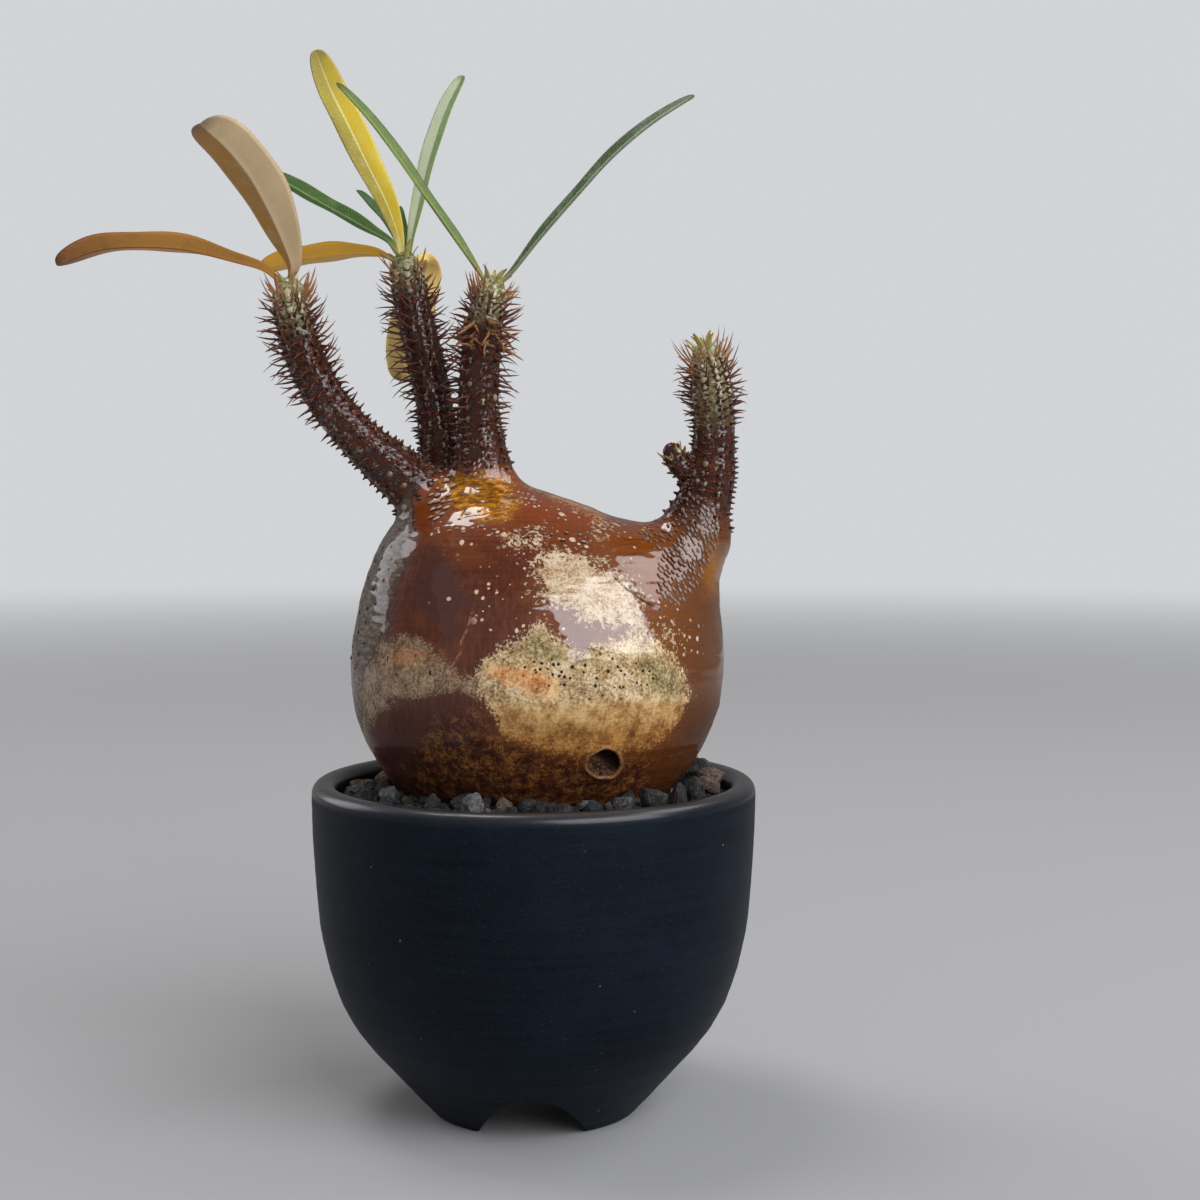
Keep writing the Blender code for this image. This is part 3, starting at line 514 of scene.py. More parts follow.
def settle_on_body(mesh, rounds):
    """Slides every point of the mesh onto the surface that the formula gives. Returns what is left."""
    points, _ = settled(points_of(mesh), rounds)
    mesh.vertices.foreach_set("co", points.astype(np.float32).ravel())
    mesh.update()
    return np.abs(body_distance(points)).max()


# %% The heap of shapes that the skin is drawn over
def add_ball(bm, centre, wide, deep, tall):
    place = Matrix.Translation(centre) @ Matrix.Diagonal((wide, deep, tall, 1))
    bmesh.ops.create_icosphere(bm, subdivisions=4, radius=1, matrix=place)


def add_link(bm, a, b):
    """A cone between two stations, with a ball on its far end so that bends stay closed."""
    axis = Vector(b[:3]) - Vector(a[:3])
    turn = axis.to_track_quat("Z", "Y").to_matrix().to_4x4()
    place = Matrix.Translation((Vector(a[:3]) + Vector(b[:3])) / 2) @ turn
    bmesh.ops.create_cone(bm, cap_ends=True, segments=24, radius1=a[3], radius2=b[3], depth=axis.length,
                          matrix=place)
    add_ball(bm, b[:3], b[3], b[3], b[3])


def remeshed(mesh, voxel):
    """One even, closed skin over all the shapes in a mesh."""
    obj = bpy.data.objects.new("heap", mesh)
    bpy.context.collection.objects.link(obj)
    modifier = obj.modifiers.new("skin", "REMESH")
    modifier.mode = "VOXEL"
    modifier.voxel_size = voxel
    graph = bpy.context.evaluated_depsgraph_get()
    made = bpy.data.meshes.new_from_object(obj.evaluated_get(graph))
    bpy.data.objects.remove(obj)
    return made


def heap_of_shapes():
    bm = bmesh.new()
    centre, (wide, deep, up, down) = TRUNK_BODY
    add_ball(bm, centre, wide, deep, up)
    add_ball(bm, centre, wide * 0.98, deep * 0.98, down)
    centre, (wide, deep, up, down), _ = TRUNK_SHOULDER
    add_ball(bm, centre, wide, deep, up)
    for foot, foot_radius, head, head_radius, _ in TRUNK_CONES:
        add_link(bm, (*foot, foot_radius), (*head, head_radius))
    for name in STEMS:
        for a, b in stem_links(name):
            add_link(bm, a, b)
    mesh = bpy.data.meshes.new("heap")
    bm.to_mesh(mesh)
    bm.free()
    return mesh


# %% The skin
COARSE_VOXEL, QUICK_VOXEL, FINE_VOXEL = 1.5, 1.0, 0.70  # millimetres
skin = remeshed(heap_of_shapes(), COARSE_VOXEL)
settle_on_body(skin, 3)
skin = remeshed(skin, FINE_VOXEL)
print("skin of", len(skin.vertices), "points, furthest off", round(settle_on_body(skin, 2), 3), "mm")

# %% [markdown]
# ## Relief of the skin
# The trunk is not quite smooth: it has shallow lumps, fine stretch lines that run round it, and one
# round scar where a branch fell off, a thin raised ring with a dark hollow. These are moved into the mesh
# along its normals, and only the finest grain is left to the material.

# %% Lumps, stretch lines and the branch scar
SCAR = (16.6, 87.0)  # across and up, on the front
# The scar's own radius, how far its swelling goes, and how far the mesh round it is made finer.
SCAR_RADIUS, SCAR_REACH, SCAR_FINE = 3.9, 9, 6.6


def scar_reach(p):
    """How far a point is from the scar's middle, a little unevenly, or far if it is at the back."""
    if p.y > -20:
        return 99.0
    across, up = p.x - SCAR[0], p.z - SCAR[1]
    turn = math.atan2(up, across)
    return math.hypot(across, up * 1.08) * (1 + 0.04 * math.sin(3 * turn + 1) + 0.02 * math.sin(7 * turn))


def scar_relief(p):
    reach = scar_reach(p)
    if reach > SCAR_REACH:
        return 0.0
    inwards = min(max((SCAR_RADIUS - 0.3 - reach) / 0.9, 0), 1)
    upper_right = min(max(0.5 + (p.x - SCAR[0] + p.z - SCAR[1]) / 5, 0), 1)
    rim = 0.45 * math.exp(-((reach - SCAR_RADIUS) / 0.5) ** 2)
    swell = 0.3 * math.exp(-(reach / 6.5) ** 2)
    lumps = 0.4 * noise.noise(p / 0.8) + 0.2 * noise.noise(p / 0.35)
    return rim + swell - inwards * (0.7 + 1.3 * upper_right - lumps)


def relief(p, stem):
    """How far the skin stands out at a point, in millimetres. Stem is 0 on the trunk and 1 on a stem."""
    lumps = 0.38 * noise.noise(p / 15) + 0.16 * noise.noise(p / 5.5)
    lines = 0.10 * noise.noise(Vector((p.x / 9, p.y / 9, p.z / 1.3)))
    knobs = 0.32 * noise.noise(Vector((p.x / 1.7, p.y / 1.7, p.z / 1.25)))
    return (lumps + lines) * (1 - 0.7 * stem) + knobs * stem + scar_relief(p)


# %% Where the stems' own skin begins
STEM_STARTS = [  # where spiny skin begins, the way the stem leaves, and how softly it begins
    ((-27.5, -3.2, 147.5), (-0.78, -0.1, 0.62), 5.0),
    ((-21.8, 7.4, 152.0), (-0.15, 0.1, 1.0), 4.0),
    ((-12.4, -2.8, 152.5), (-0.05, 0.0, 1.0), 4.5),
    ((40.0, 0.0, 141.5), (0.25, 0.0, 1.0), 9.0),
    ((38.4, -1.0, 150.0), (-0.9, -0.2, 0.4), 2.0),
]
STEM_REACH = 12.0


def smooth_share(value):
    value = np.clip(value, 0, 1)
    return value * value * (3 - 2 * value)


def stem_share(points):
    """0 on the trunk's own skin and 1 on the stems', with a soft change at each neck."""
    share = np.zeros(len(points))
    for name, (start, way, softness) in zip(STEMS, STEM_STARTS):
        way = np.array(way) / np.linalg.norm(way)
        along = (points - np.array(start)) @ way / softness + 0.5
        near = stem_distance(points, name) < STEM_REACH - 4
        share = np.maximum(share, smooth_share(along) * near)
    return share


# %% The relief moved into the mesh
bm = bmesh.new()
bm.from_mesh(skin)
for _ in range(2):
    edges = [e for e in bm.edges if max(scar_reach(v.co) for v in e.verts) < SCAR_FINE]
    bmesh.ops.subdivide_edges(bm, edges=edges, cuts=1, use_grid_fill=True)
bmesh.ops.triangulate(bm, faces=[f for f in bm.faces if len(f.verts) > 4])
bm.normal_update()
bm.verts.ensure_lookup_table()
shares = stem_share(np.array([v.co for v in bm.verts]))
moves = [v.normal * relief(v.co, shares[v.index]) for v in bm.verts]
for vert, move in zip(bm.verts, moves):
    vert.co += move
plant_bm = bm
print("skin with relief", len(bm.verts), "points")

# %% [markdown]
# ## Where the bark changes colour
# The trunk's skin is a map: cream chalky patches, a tan and olive band, silver papery skin on the left,
# plum shade, an amber top. Noise alone would put these anywhere, so each is an outline drawn on
# the front, and the mesh carries how deep inside it every point lies. The material then gives each
# outline its ragged, speckled edge. The back can't be seen in the picture, so there the same kinds of
# patch fall where slow noise puts them.

# %% Outlines of colour, carried by the mesh
BARK_OUTLINES = {  # corners across and up, in millimetres, and over how many of them the edge fades
    "cream": ([
        [(-0.1, 132.9), (2.3, 134.6), (12.6, 133.3), (15.7, 131.5), (21.7, 127.5), (27.4, 122.3),
         (26.2, 119.5), (27.3, 116.0), (24.1, 115.3), (21.0, 117.6), (15.7, 117.7), (10.2, 119.8),
         (4.1, 123.0), (0.5, 126.5), (0.9, 129.9)],
        [(-5.5, 136.2), (-3.3, 137.3), (3.6, 137.2), (4.3, 135.3), (1.2, 133.9), (-3.2, 134.2)],
        [(13.0, 138.2), (16.4, 139.0), (16.8, 136.9), (13.6, 136.4)],
        [(30.2, 115.4), (31.8, 117.2), (33.0, 115.0), (31.4, 113.4)]], 6.5),
    "flecks": ([
        [(-15.0, 132.0), (-6.6, 134.2), (0.1, 133.8), (1.5, 129.9), (1.2, 125.6), (3.6, 122.2),
         (4.3, 117.5), (-1.8, 114.9), (-6.1, 112.7), (-11.0, 116.5), (-13.0, 123.4)],
        [(-24.5, 142.5), (-13.7, 141.7), (-2.4, 140.8), (6.6, 139.0), (15.7, 136.3), (15.3, 132.8),
         (2.2, 137.3), (-6.7, 136.4), (-15.6, 133.8), (-25.0, 135.2)],
        [(26.9, 123.8), (33.0, 122.6), (40.0, 114.1), (40.5, 109.5), (36.1, 109.2), (30.9, 111.8),
         (26.8, 116.0)],
        [(-7.4, 148.0), (6.5, 144.1), (15.7, 140.6), (27.4, 138.7), (24.9, 136.1), (13.4, 137.8),
         (2.1, 141.2), (-6.0, 144.2)]], 3.0),
    "tan": ([
        [(-11.2, 109.6), (-7.2, 113.1), (-2.6, 114.9), (0.2, 117.5), (2.6, 119.0), (5.2, 117.0),
         (11.3, 113.1), (19.4, 115.0), (22.6, 117.5), (27.3, 115.6), (33.0, 111.2), (35.8, 105.8),
         (36.3, 100.3), (33.8, 95.2), (27.5, 89.6), (15.7, 88.4), (4.7, 89.6), (-4.6, 93.0),
         (-9.0, 98.6), (-12.3, 104.0)]], 3.6),
    "peel": ([
        [(-22.1, 152.3), (-26.0, 148.7), (-28.5, 144.6), (-27.0, 138.5), (-29.6, 133.5), (-29.1, 129.5),
         (-30.9, 125.2), (-32.0, 122.5), (-32.7, 118.9), (-31.8, 117.4), (-34.0, 114.0), (-38.0, 108.0),
         (-39.5, 100.0), (-40.0, 91.0), (-60.0, 88.0), (-60.0, 152.3)]], 3.2),
    "band": ([
        [(-31.0, 115.0), (-27.8, 116.0), (-21.9, 114.6), (-18.6, 111.4), (-14.8, 108.2), (-9.4, 106.6),
         (-10.6, 102.4), (-16.2, 102.8), (-21.1, 101.6), (-26.8, 100.6), (-31.2, 99.1), (-34.7, 96.3),
         (-37.0, 91.8), (-36.6, 87.3), (-34.4, 82.9), (-33.1, 73.3), (-60.0, 73.3), (-60.0, 115.0)]], 4.0),
    "amber": ([
        [(-22.5, 151.0), (-16.0, 154.0), (-8.0, 153.0), (-2.5, 149.5), (-0.5, 144.5), (-3.0, 140.0),
         (-9.6, 138.6), (-15.8, 140.0), (-21.0, 144.0)]], 3.5),
    "plum": ([
        [(-27.4, 131.8), (-22.7, 139.4), (-16.8, 137.4), (-13.2, 132.0), (-11.6, 123.4), (-12.8, 114.8),
         (-16.1, 111.4), (-21.9, 114.5), (-27.8, 116.4), (-30.5, 122.8)],
        [(-16.0, 103.0), (-8.0, 92.0), (-14.0, 78.0), (-26.0, 74.0), (-38.0, 80.0), (-38.0, 97.0)]], 7.0),
    "orange": ([
        [(-9.6, 110.1), (-6.1, 110.5), (2.6, 109.3), (7.0, 106.2), (6.1, 101.8), (0.4, 101.9),
         (-5.0, 104.1), (-8.7, 107.3)],
        [(-32.7, 110.5), (-29.0, 113.0), (-21.8, 112.3), (-20.4, 110.2), (-26.5, 108.1), (-31.9, 107.7)],
        [(-6.0, 153.2), (1.4, 150.0), (8.1, 147.3), (16.4, 142.7), (21.6, 142.4), (15.4, 140.6),
         (7.0, 144.6), (0.0, 147.6)],
        [(-7.0, 146.2), (-4.6, 145.4), (-5.4, 142.2), (-7.6, 143.0)],
        [(-6.0, 138.4), (-4.2, 138.0), (-4.4, 136.0), (-6.2, 136.4)]], 3.0),
    "olive": ([
        [(-6.1, 112.3), (-1.8, 114.9), (2.6, 118.3), (6.1, 114.9), (11.3, 111.6), (17.9, 111.4),
         (15.7, 108.6), (7.0, 109.5), (-1.7, 111.7)],
        [(24.6, 112.2), (30.2, 110.8), (34.2, 104.9), (34.7, 100.2), (29.1, 100.8), (24.5, 105.6)],
        [(-28.0, 106.6), (-19.0, 107.0), (-20.0, 104.6), (-28.0, 103.8)]], 3.0),
    "gold": ([
        [(39.0, 140.1), (44.3, 141.7), (47.9, 130.9), (47.0, 119.0), (38.7, 121.3), (35.5, 128.1),
         (37.0, 134.8)],
        [(-8.0, 99.5), (33.0, 96.5), (35.0, 90.5), (22.0, 86.5), (2.0, 86.5), (-10.0, 89.5),
         (-13.0, 95.5)]], 6.0),
    "net": ([
        [(-24.0, 98.0), (-10.1, 103.5), (-2.1, 96.5), (8.9, 92.7), (30.6, 90.8), (30.9, 70.0),
         (-32.3, 70.0), (-31.8, 85.5)]], 6.0),
    "pins": ([
        [(-2.0, 110.0), (4.0, 113.0), (13.0, 112.5), (25.0, 110.0), (29.0, 106.0), (24.0, 101.5),
         (10.0, 101.5), (-1.0, 105.0)]], 2.5),
}
BACK_NOISE = {  # on the back: how slow the noise is, what it must pass, and the band of heights it keeps to
    "cream": (12.0, 0.36, 120.0, 12.0), "flecks": (12.0, 0.1, 128.0, 12.0), "tan": (15.0, 0.02, 101.0, 8.0),
    "band": (17.0, 0.2, 98.0, 10.0), "peel": (17.0, 0.34, 118.0, 20.0), "amber": (12.0, 0.2, 146.0, 7.0),
    "plum": (18.0, 0.0, 122.0, 22.0), "orange": (10.0, 0.3, 104.0, 9.0), "olive": (10.0, 0.25, 103.0, 9.0),
    "gold": (15.0, -0.05, 92.0, 9.0), "net": (20.0, -0.5, 84.0, 12.0), "pins": (10.0, 0.1, 104.0, 7.0),
}
PALE_LINE = [(-12.5, 120.8), (-13.5, 116.9), (-14.9, 114.3), (-14.5, 112.6), (-17.0, 108.8), (-15.6, 106.7)]
DARK_CRACK = [(19.0, 128.0), (21.5, 125.6), (25.4, 122.8), (29.2, 120.7)]


# %% How deep a point lies in an outline
def outline_depth(points, corners):
    """How many millimetres each point lies inside an outline seen from the front, below 0 outside."""
    flat = points[:, [0, 2]]
    near = np.full(len(points), 1e9)
    inside = np.zeros(len(points), bool)
    for a, b in zip(np.array(corners), np.array(corners[1:] + corners[:1])):
        t = np.clip((flat - a) @ (b - a) / ((b - a) @ (b - a)), 0, 1)
        near = np.minimum(near, np.linalg.norm(flat - a - t[:, None] * (b - a), axis=1))
        spans = (a[1] > flat[:, 1]) != (b[1] > flat[:, 1])
        reach = a[0] + (flat[:, 1] - a[1]) * (b[0] - a[0]) / (b[1] - a[1] if b[1] != a[1] else 1e-9)
        inside ^= spans & (flat[:, 0] < reach)
    return np.where(inside, near, -near)


def bark_level(points, name):
    """1 well inside a kind of patch, 0 on its edge and -1 well outside it."""
    outlines, fade = BARK_OUTLINES[name]
    front = np.maximum.reduce([outline_depth(points, corners) for corners in outlines]) / fade
    slow, passed, height, band = BACK_NOISE[name]
    shift = Vector((len(name) * 7.3, slow, ord(name[0])))
    wild = np.array([noise.noise(Vector(p) / slow + shift) + 0.4 * noise.noise(Vector(p) / slow * 2.7 + shift)
                     for p in points])
    back = (wild - passed) * 4 + 1 - np.clip(np.abs(points[:, 2] - height) / band, 1, 3)
    behind = smooth_share((points[:, 1] + 3) / 9)
    return np.clip(front * (1 - behind) + back * behind, -1, 1)


def line_depth(points, line, half_width):
    """1 on a line drawn on the front, falling to 0 at half its width."""
    depth = np.zeros(len(points))
    for a, b in zip(line, line[1:]):
        a, b = np.array(a), np.array(b)
        t = np.clip((points[:, [0, 2]] - a) @ (b - a) / ((b - a) @ (b - a)), 0, 1)
        away = np.linalg.norm(points[:, [0, 2]] - a - t[:, None] * (b - a), axis=1)
        depth = np.maximum(depth, np.clip(1 - away / half_width, 0, 1) * (points[:, 1] < -10))
    return depth


# %% What the mesh carries for the bark
def carry(mesh, name, values):
    mesh.attributes.new(name, "FLOAT", "POINT").data.foreach_set("value", np.asarray(values, np.float32))


CROWN_REACH = {"branch_left": 10.5, "branch_back": 8.0, "branch_middle": 9.5, "branch_right": 17.0}


def crown_share(points):
    """1 at a stem's crown, falling to 0 over the stretch below it that is still green."""
    share = np.zeros(len(points))
    for name, reach in CROWN_REACH.items():
        tip = np.array(STEMS[name][-1][:3])
        away = np.linalg.norm(points - tip, axis=1)
        share = np.maximum(share, smooth_share(1.25 - away / reach))
    return share


def carry_bark(mesh):
    points = points_of(mesh)
    for name in BARK_OUTLINES:
        carry(mesh, name, bark_level(points, name))
    carry(mesh, "stem", stem_share(points))
    carry(mesh, "crown", crown_share(points))
    carry(mesh, "pale_line", line_depth(points, PALE_LINE, 0.7))
    carry(mesh, "dark_crack", line_depth(points, DARK_CRACK, 0.6))
    carry(mesh, "scar", [min(scar_reach(Vector(p)), SCAR_REACH) for p in points])


# %% [markdown]
# ## The bark's finish
# Real pachypodium bark is a thin papery skin over green tissue: wet and glossy where it is whole,
# matt and chalky where it flakes. The graph lays coats from the deepest to the top one: brown ground
# with plum shade and gold, the amber top and the marbled foot, tan and beige bands, silver paper, cream
# flakes, then pinholes, dots, lines, the scar and the stems' own skin. Each coat changes the colour,
# and the flaking ones also take away the gloss.

# %% How a coat is laid on the bark
def speckled(mm, grain_share, dark, middle, light):
    """A chalky coat: three colours in grains of about half a millimetre."""
    grains = cloud(mm, 1.5, 3.0, 0.8)
    patches = cloud(mm, 0.28, 3.0, 0.6)
    value = plus(times(grains, grain_share), times(patches, 1 - grain_share))
    return shades(value, (0.39, *dark), (0.59, *light), (0.49, *middle))


def start_bark(tree, mm):
    """What the coats have in common: the patterns that several of them read, and the colour so far."""
    bark = SimpleNamespace(tree=tree, mm=mm)
    bark.across, _, bark.up = add(tree, "ShaderNodeSeparateXYZ", mm).outputs
    bark.upright = cloud(stretched(mm, 1.1, 1.1, 0.1), 1.0, 4.0, 0.6)
    bark.level_lines = cloud(stretched(mm, 0.07, 0.07, 1.5), 1.0, 4.0, 0.65)
    bark.grain = cloud(mm, 1.1, 6.0, 0.72)
    bark.broad = cloud(mm, 0.08, 4.0, 0.55)
    return bark


def lay(bark, share, colour):
    """Lays a colour over what is there, by its share."""
    bark.colour = mixed(share, bark.colour, colour)


def coat(bark, name, colour, share=1.0, where=None, **sizes):
    """Lays a colour where the mesh carries the outline of that name. Returns the mask of where it lies."""
    sizes = {"Coarse": 0.2, "Flakes": 2.2, "Grain": 0.9, "Softness": 0.28} | sizes
    where = bark.mm if where is None else where
    mask = place_group(BLOTCHES, Where=where, Level=painted_on(bark.tree, name), **sizes)["Mask"]
    if share < 1:
        mask = times(mask, share)
    lay(bark, mask, colour)
    return mask


# %% The brown ground, darker towards the foot and the right, with plum shade and gold
def lay_ground(bark):
    across, up, broad = bark.across, bark.up, bark.broad
    rightward = grown_from(plus(across, times(broad, 30.0)), 6.0, 50.0)
    bark.colour = mixed(rightward, paint(84, 31, 6), paint(130, 70, 8))
    lay(bark, grown_from(up, 132.0, 146.0), paint(138, 60, 8))
    lay(bark, times(grown_from(up, 112.0, 92.0), 0.7), paint(60, 29, 14))
    lay(bark, times(grown_from(bark.upright, 0.42, 0.7), 0.25), paint(150, 78, 26))
    lay(bark, times(grown_from(bark.level_lines, 0.5, 0.72), 0.5), paint(58, 22, 12))
    lay(bark, times(grown_from(broad, 0.5, 0.68), 0.55), paint(118, 58, 13))
    lay(bark, times(grown_from(across, 24.0, 42.0), 0.55), paint(66, 40, 14))
    plum = mixed(times(bark.level_lines, 0.8), paint(44, 20, 22), paint(96, 50, 44))
    coat(bark, "plum", plum, 0.88, Softness=1.3, Grain=0.3)
    gold = mixed(bark.grain, paint(104, 58, 12), paint(184, 118, 34))
    coat(bark, "gold", gold, 0.85, Softness=1.2, Grain=1.4)


# %% The amber top, and the marbled foot with its gold net
def lay_amber_and_net(bark):
    mm = bark.mm
    streaks = cloud(stretched(mm, 0.35, 0.35, 1.1), 1.0, 5.0, 0.7)
    amber = shades(streaks, (0.4, 96, 60, 6), (0.64, 250, 164, 48), (0.54, 176, 112, 14))
    coat(bark, "amber", amber, 0.95, Softness=0.9)
    mottled = cloud(mm, 0.42, 6.0, 0.72)
    marble = shades(mottled, (0.38, 36, 16, 14), (0.66, 134, 86, 44), (0.52, 76, 38, 23))
    net_mask = coat(bark, "net", marble, 0.85, Softness=1.2)
    net = larger(veins(mm, 0.34, 0.03), veins(mm, 0.16, 0.022))
    bark.net = times(net, net_mask, grown_from(mottled, 0.36, 0.56))
    lay(bark, times(bark.net, 0.6), paint(170, 118, 56))


# %% The tan and olive band, and the beige one on the left
def lay_bands(bark):
    mm, up = bark.mm, bark.up
    tan = speckled(mm, 0.65, (116, 88, 50), (190, 158, 108), (240, 220, 180))
    low_gold = speckled(mm, 0.35, (150, 106, 50), (198, 156, 96), (226, 192, 134))
    tan = mixed(grown_from(up, 103.5, 98.5), tan, low_gold)
    burnt = speckled(mm, 0.5, (96, 54, 20), (152, 100, 44), (190, 142, 76))
    tan = mixed(grown_from(up, 99.5, 93.0), tan, burnt)
    bark.tan = coat(bark, "tan", tan, 0.96, Flakes=1.5, Grain=2.4, Softness=0.4)
    moss = speckled(mm, 0.7, (74, 60, 24), (126, 108, 56), (202, 184, 134))
    coat(bark, "olive", moss, 0.85, Flakes=1.5, Grain=1.9, Softness=0.6)
    rust = speckled(mm, 0.6, (180, 102, 42), (226, 152, 84), (244, 196, 136))
    coat(bark, "orange", rust, 0.75, Flakes=1.1, Grain=3.4, Softness=0.4)
    beige = speckled(mm, 0.6, (86, 58, 40), (144, 116, 86), (190, 166, 134))
    beige = mixed(times(painted_on(bark.tree, "orange"), 0.7), beige, paint(190, 122, 70))
    bark.band = coat(bark, "band", beige, 0.88, stretched(mm, 0.6, 0.6, 1.4), Grain=2.6, Softness=0.5)


# %% Papery peel with a painted shadow under its torn edge, cream flakes and flecks
TORN_EDGE = {"Coarse": 0.16, "Flakes": 1.6, "Grain": 0.5, "Softness": 0.06}


def lay_peel_and_cream(bark):
    mm, tree = bark.mm, bark.tree
    torn = stretched(mm, 0.6, 0.6, 1.5)
    lifted = plus(painted_on(tree, "peel"), 0.13)
    bark.shadow = place_group(BLOTCHES, Where=torn, Level=lifted, **TORN_EDGE)["Mask"]
    # The dark line under the peel's torn edge is a painted shadow of the lifted paper.
    lay(bark, times(bark.shadow, 0.75), paint(34, 20, 17))
    fibres = cloud(stretched(mm, 0.35, 0.35, 1.3), 1.0, 5.0, 0.65)
    paper = shades(fibres, (0.34, 72, 55, 44), (0.64, 150, 134, 117), (0.5, 106, 90, 77))
    bark.peel = coat(bark, "peel", paper, 0.97, torn, **TORN_EDGE)
    chalk = speckled(mm, 0.65, (140, 96, 58), (200, 172, 134), (226, 208, 180))
    bark.cream = coat(bark, "cream", chalk, Flakes=0.95, Grain=3.2, Softness=0.16)
    sown = grown_from(painted_on(tree, "flecks"), -0.6, 0.6)
    bark.flecks = times(larger(specks(mm, 1.5, 0.22, 0.4), specks(mm, 3.1, 0.2, 0.4)), sown)
    lay(bark, bark.flecks, mixed(bark.grain, paint(196, 150, 112), paint(244, 226, 202)))


# %% Pinholes, marks, stray dots and lines
def lay_marks(bark):
    mm, tree = bark.mm, bark.tree
    in_pins = grown_from(painted_on(tree, "pins"), -0.3, 0.3)
    bark.pins = times(specks(mm, 1.3, 0.24, 0.6), in_pins)
    marks = specks(stretched(mm, 1.0, 1.0, 0.45), 1.7, 0.15, 0.3)
    bark.marks = times(marks, larger(bark.peel, bark.band))
    lay(bark, larger(bark.pins, bark.marks), paint(34, 24, 18))
    bark.strays = times(specks(mm, 3.8, 0.1, 0.4), grown_from(bark.up, 100.0, 116.0))
    lay(bark, bark.strays, paint(222, 190, 160))
    bark.pale_line, bark.dark_crack = painted_on(tree, "pale_line"), painted_on(tree, "dark_crack")
    lay(bark, times(grown_from(bark.pale_line, 0.5, 0.9), 0.7), paint(178, 124, 96))
    lay(bark, grown_from(bark.dark_crack, 0.4, 0.8), paint(58, 30, 24))


# %% The branch scar: a pale ring round a dark, rotten hollow, with painted shade in its deep upper right
def lay_scar(bark):
    scar = painted_on(bark.tree, "scar")
    ring = times(grown_from(scar, 3.3, 3.7), grown_from(scar, 4.6, 4.0))
    bark_ring = shades(cloud(bark.mm, 1.6, 5.0, 0.7), (0.35, 74, 44, 24), (0.65, 176, 124, 76))
    lay(bark, times(ring, 0.8), bark_ring)
    bark.hollow = grown_from(scar, 3.8, 3.2)
    rot = shades(cloud(bark.mm, 1.3, 5.0, 0.7), (0.4, 20, 13, 11), (0.66, 110, 76, 52))
    # The upper right of the hollow, where the mesh cuts deepest, is painted near black: painted shade.
    diagonal = SCAR[0] + SCAR[1]
    upper_right = grown_from(plus(bark.across, bark.up), diagonal - 1.0, diagonal + 1.6)
    lay(bark, bark.hollow, mixed(times(upper_right, 0.85), rot, paint(12, 8, 7)))


# %% The stems' maroon skin, waxy in patches and green at the crowns
def lay_stem_skin(bark):
    mm = bark.mm
    bark.stem = painted_on(bark.tree, "stem")
    bark.ribs = cloud(stretched(mm, 0.6, 0.6, 1.4), 1.0, 4.0, 0.7)
    skin = shades(bark.ribs, (0.34, 24, 12, 10), (0.68, 120, 66, 40), (0.5, 58, 27, 18))
    wax = place_group(BLOTCHES, Where=stretched(mm, 1.0, 1.0, 0.6), Level=-0.18, Coarse=0.35, Flakes=1.4,
                      Grain=1.6, Softness=0.3)["Mask"]
    skin = mixed(times(wax, 0.6), skin, paint(176, 160, 150))
    green = shades(bark.grain, (0.34, 84, 84, 50), (0.66, 220, 214, 176), (0.5, 146, 144, 98))
    lay(bark, bark.stem, mixed(painted_on(bark.tree, "crown"), skin, green))


# %% Gloss, relief, and the bark put together
def set_gloss(bark, shader):
    """Whole bark is wet and glossy. Chalk, paper, the foot and the scar are matt, and stems in patches."""
    dull = plus(0.14, times(grown_from(bark.ribs, 0.42, 0.56), 0.48))
    at_foot = grown_from(bark.up, 112.0, 94.0)
    matt = times(bark.cream, 0.14)
    for mask, weight in ((bark.peel, 0.3), (bark.band, 0.25), (bark.stem, dull), (bark.hollow, 0.7),
                         (bark.tan, 0.1), (at_foot, 0.48)):
        matt = larger(matt, times(mask, weight))
    feed(plus(times(bark.grain, 0.14), 0.16, matt), shader.inputs["Roughness"])
    feed(maths("SUBTRACT", 1.0, times(matt, 1.7), clamp=True), shader.inputs["Coat Weight"])
    shader.inputs["Coat Roughness"].default_value = 0.05
    shader.inputs["Coat IOR"].default_value = 1.7
    shader.inputs["Specular IOR Level"].default_value = 0.12


def raise_relief(bark, shader):
    height = plus(times(bark.level_lines, 0.5), times(bark.grain, 0.3), times(bark.upright, 0.2))
    for mask, weight in ((bark.strays, 0.5), (bark.flecks, 0.5), (bark.cream, 0.35), (bark.peel, 0.7),
                         (bark.shadow, -0.3), (bark.pins, -0.7), (bark.net, 0.2), (bark.marks, 0.6),
                         (bark.pale_line, 0.6), (bark.dark_crack, -0.8)):
        height = plus(height, times(mask, weight))
    bumped(shader, plus(height, times(bark.ribs, bark.stem, 2.2)), 0.3)


def make_bark():
    material, tree, shader, mm = new_material("trunk_bark")
    bark = start_bark(tree, mm)
    for lay_coats in (lay_ground, lay_amber_and_net, lay_bands, lay_peel_and_cream, lay_marks, lay_scar,
                      lay_stem_skin):
        lay_coats(bark)
    feed(bark.colour, shader.inputs["Base Color"])
    set_gloss(bark, shader)
    raise_relief(bark, shader)
    return material


TRUNK_BARK = make_bark()
plant_skin = finish_piece(plant_bm, "plant_skin", TRUNK_BARK, "trunk_bark", "caudex", *BRANCHES)
mesh = plant_skin.data
mesh.transform(TO_FRAME.inverted())
carry_bark(mesh)
mesh.transform(TO_FRAME)
print("bark carries", ", ".join(BARK_OUTLINES))

# %% [markdown]
# ## Spines
# A pachypodium's spines stand in pairs, one pair on each small cushion, and the cushions run along the
# stem in ribs. Low down they have worn to stubs, higher up they are long, thin and bent, and at the
# crown they are young and pale and point up. One small tube, extruded ring by ring, is copied for all
# of them, and each copy is then shaped by its own length, root and bend. The base stays in the skin.

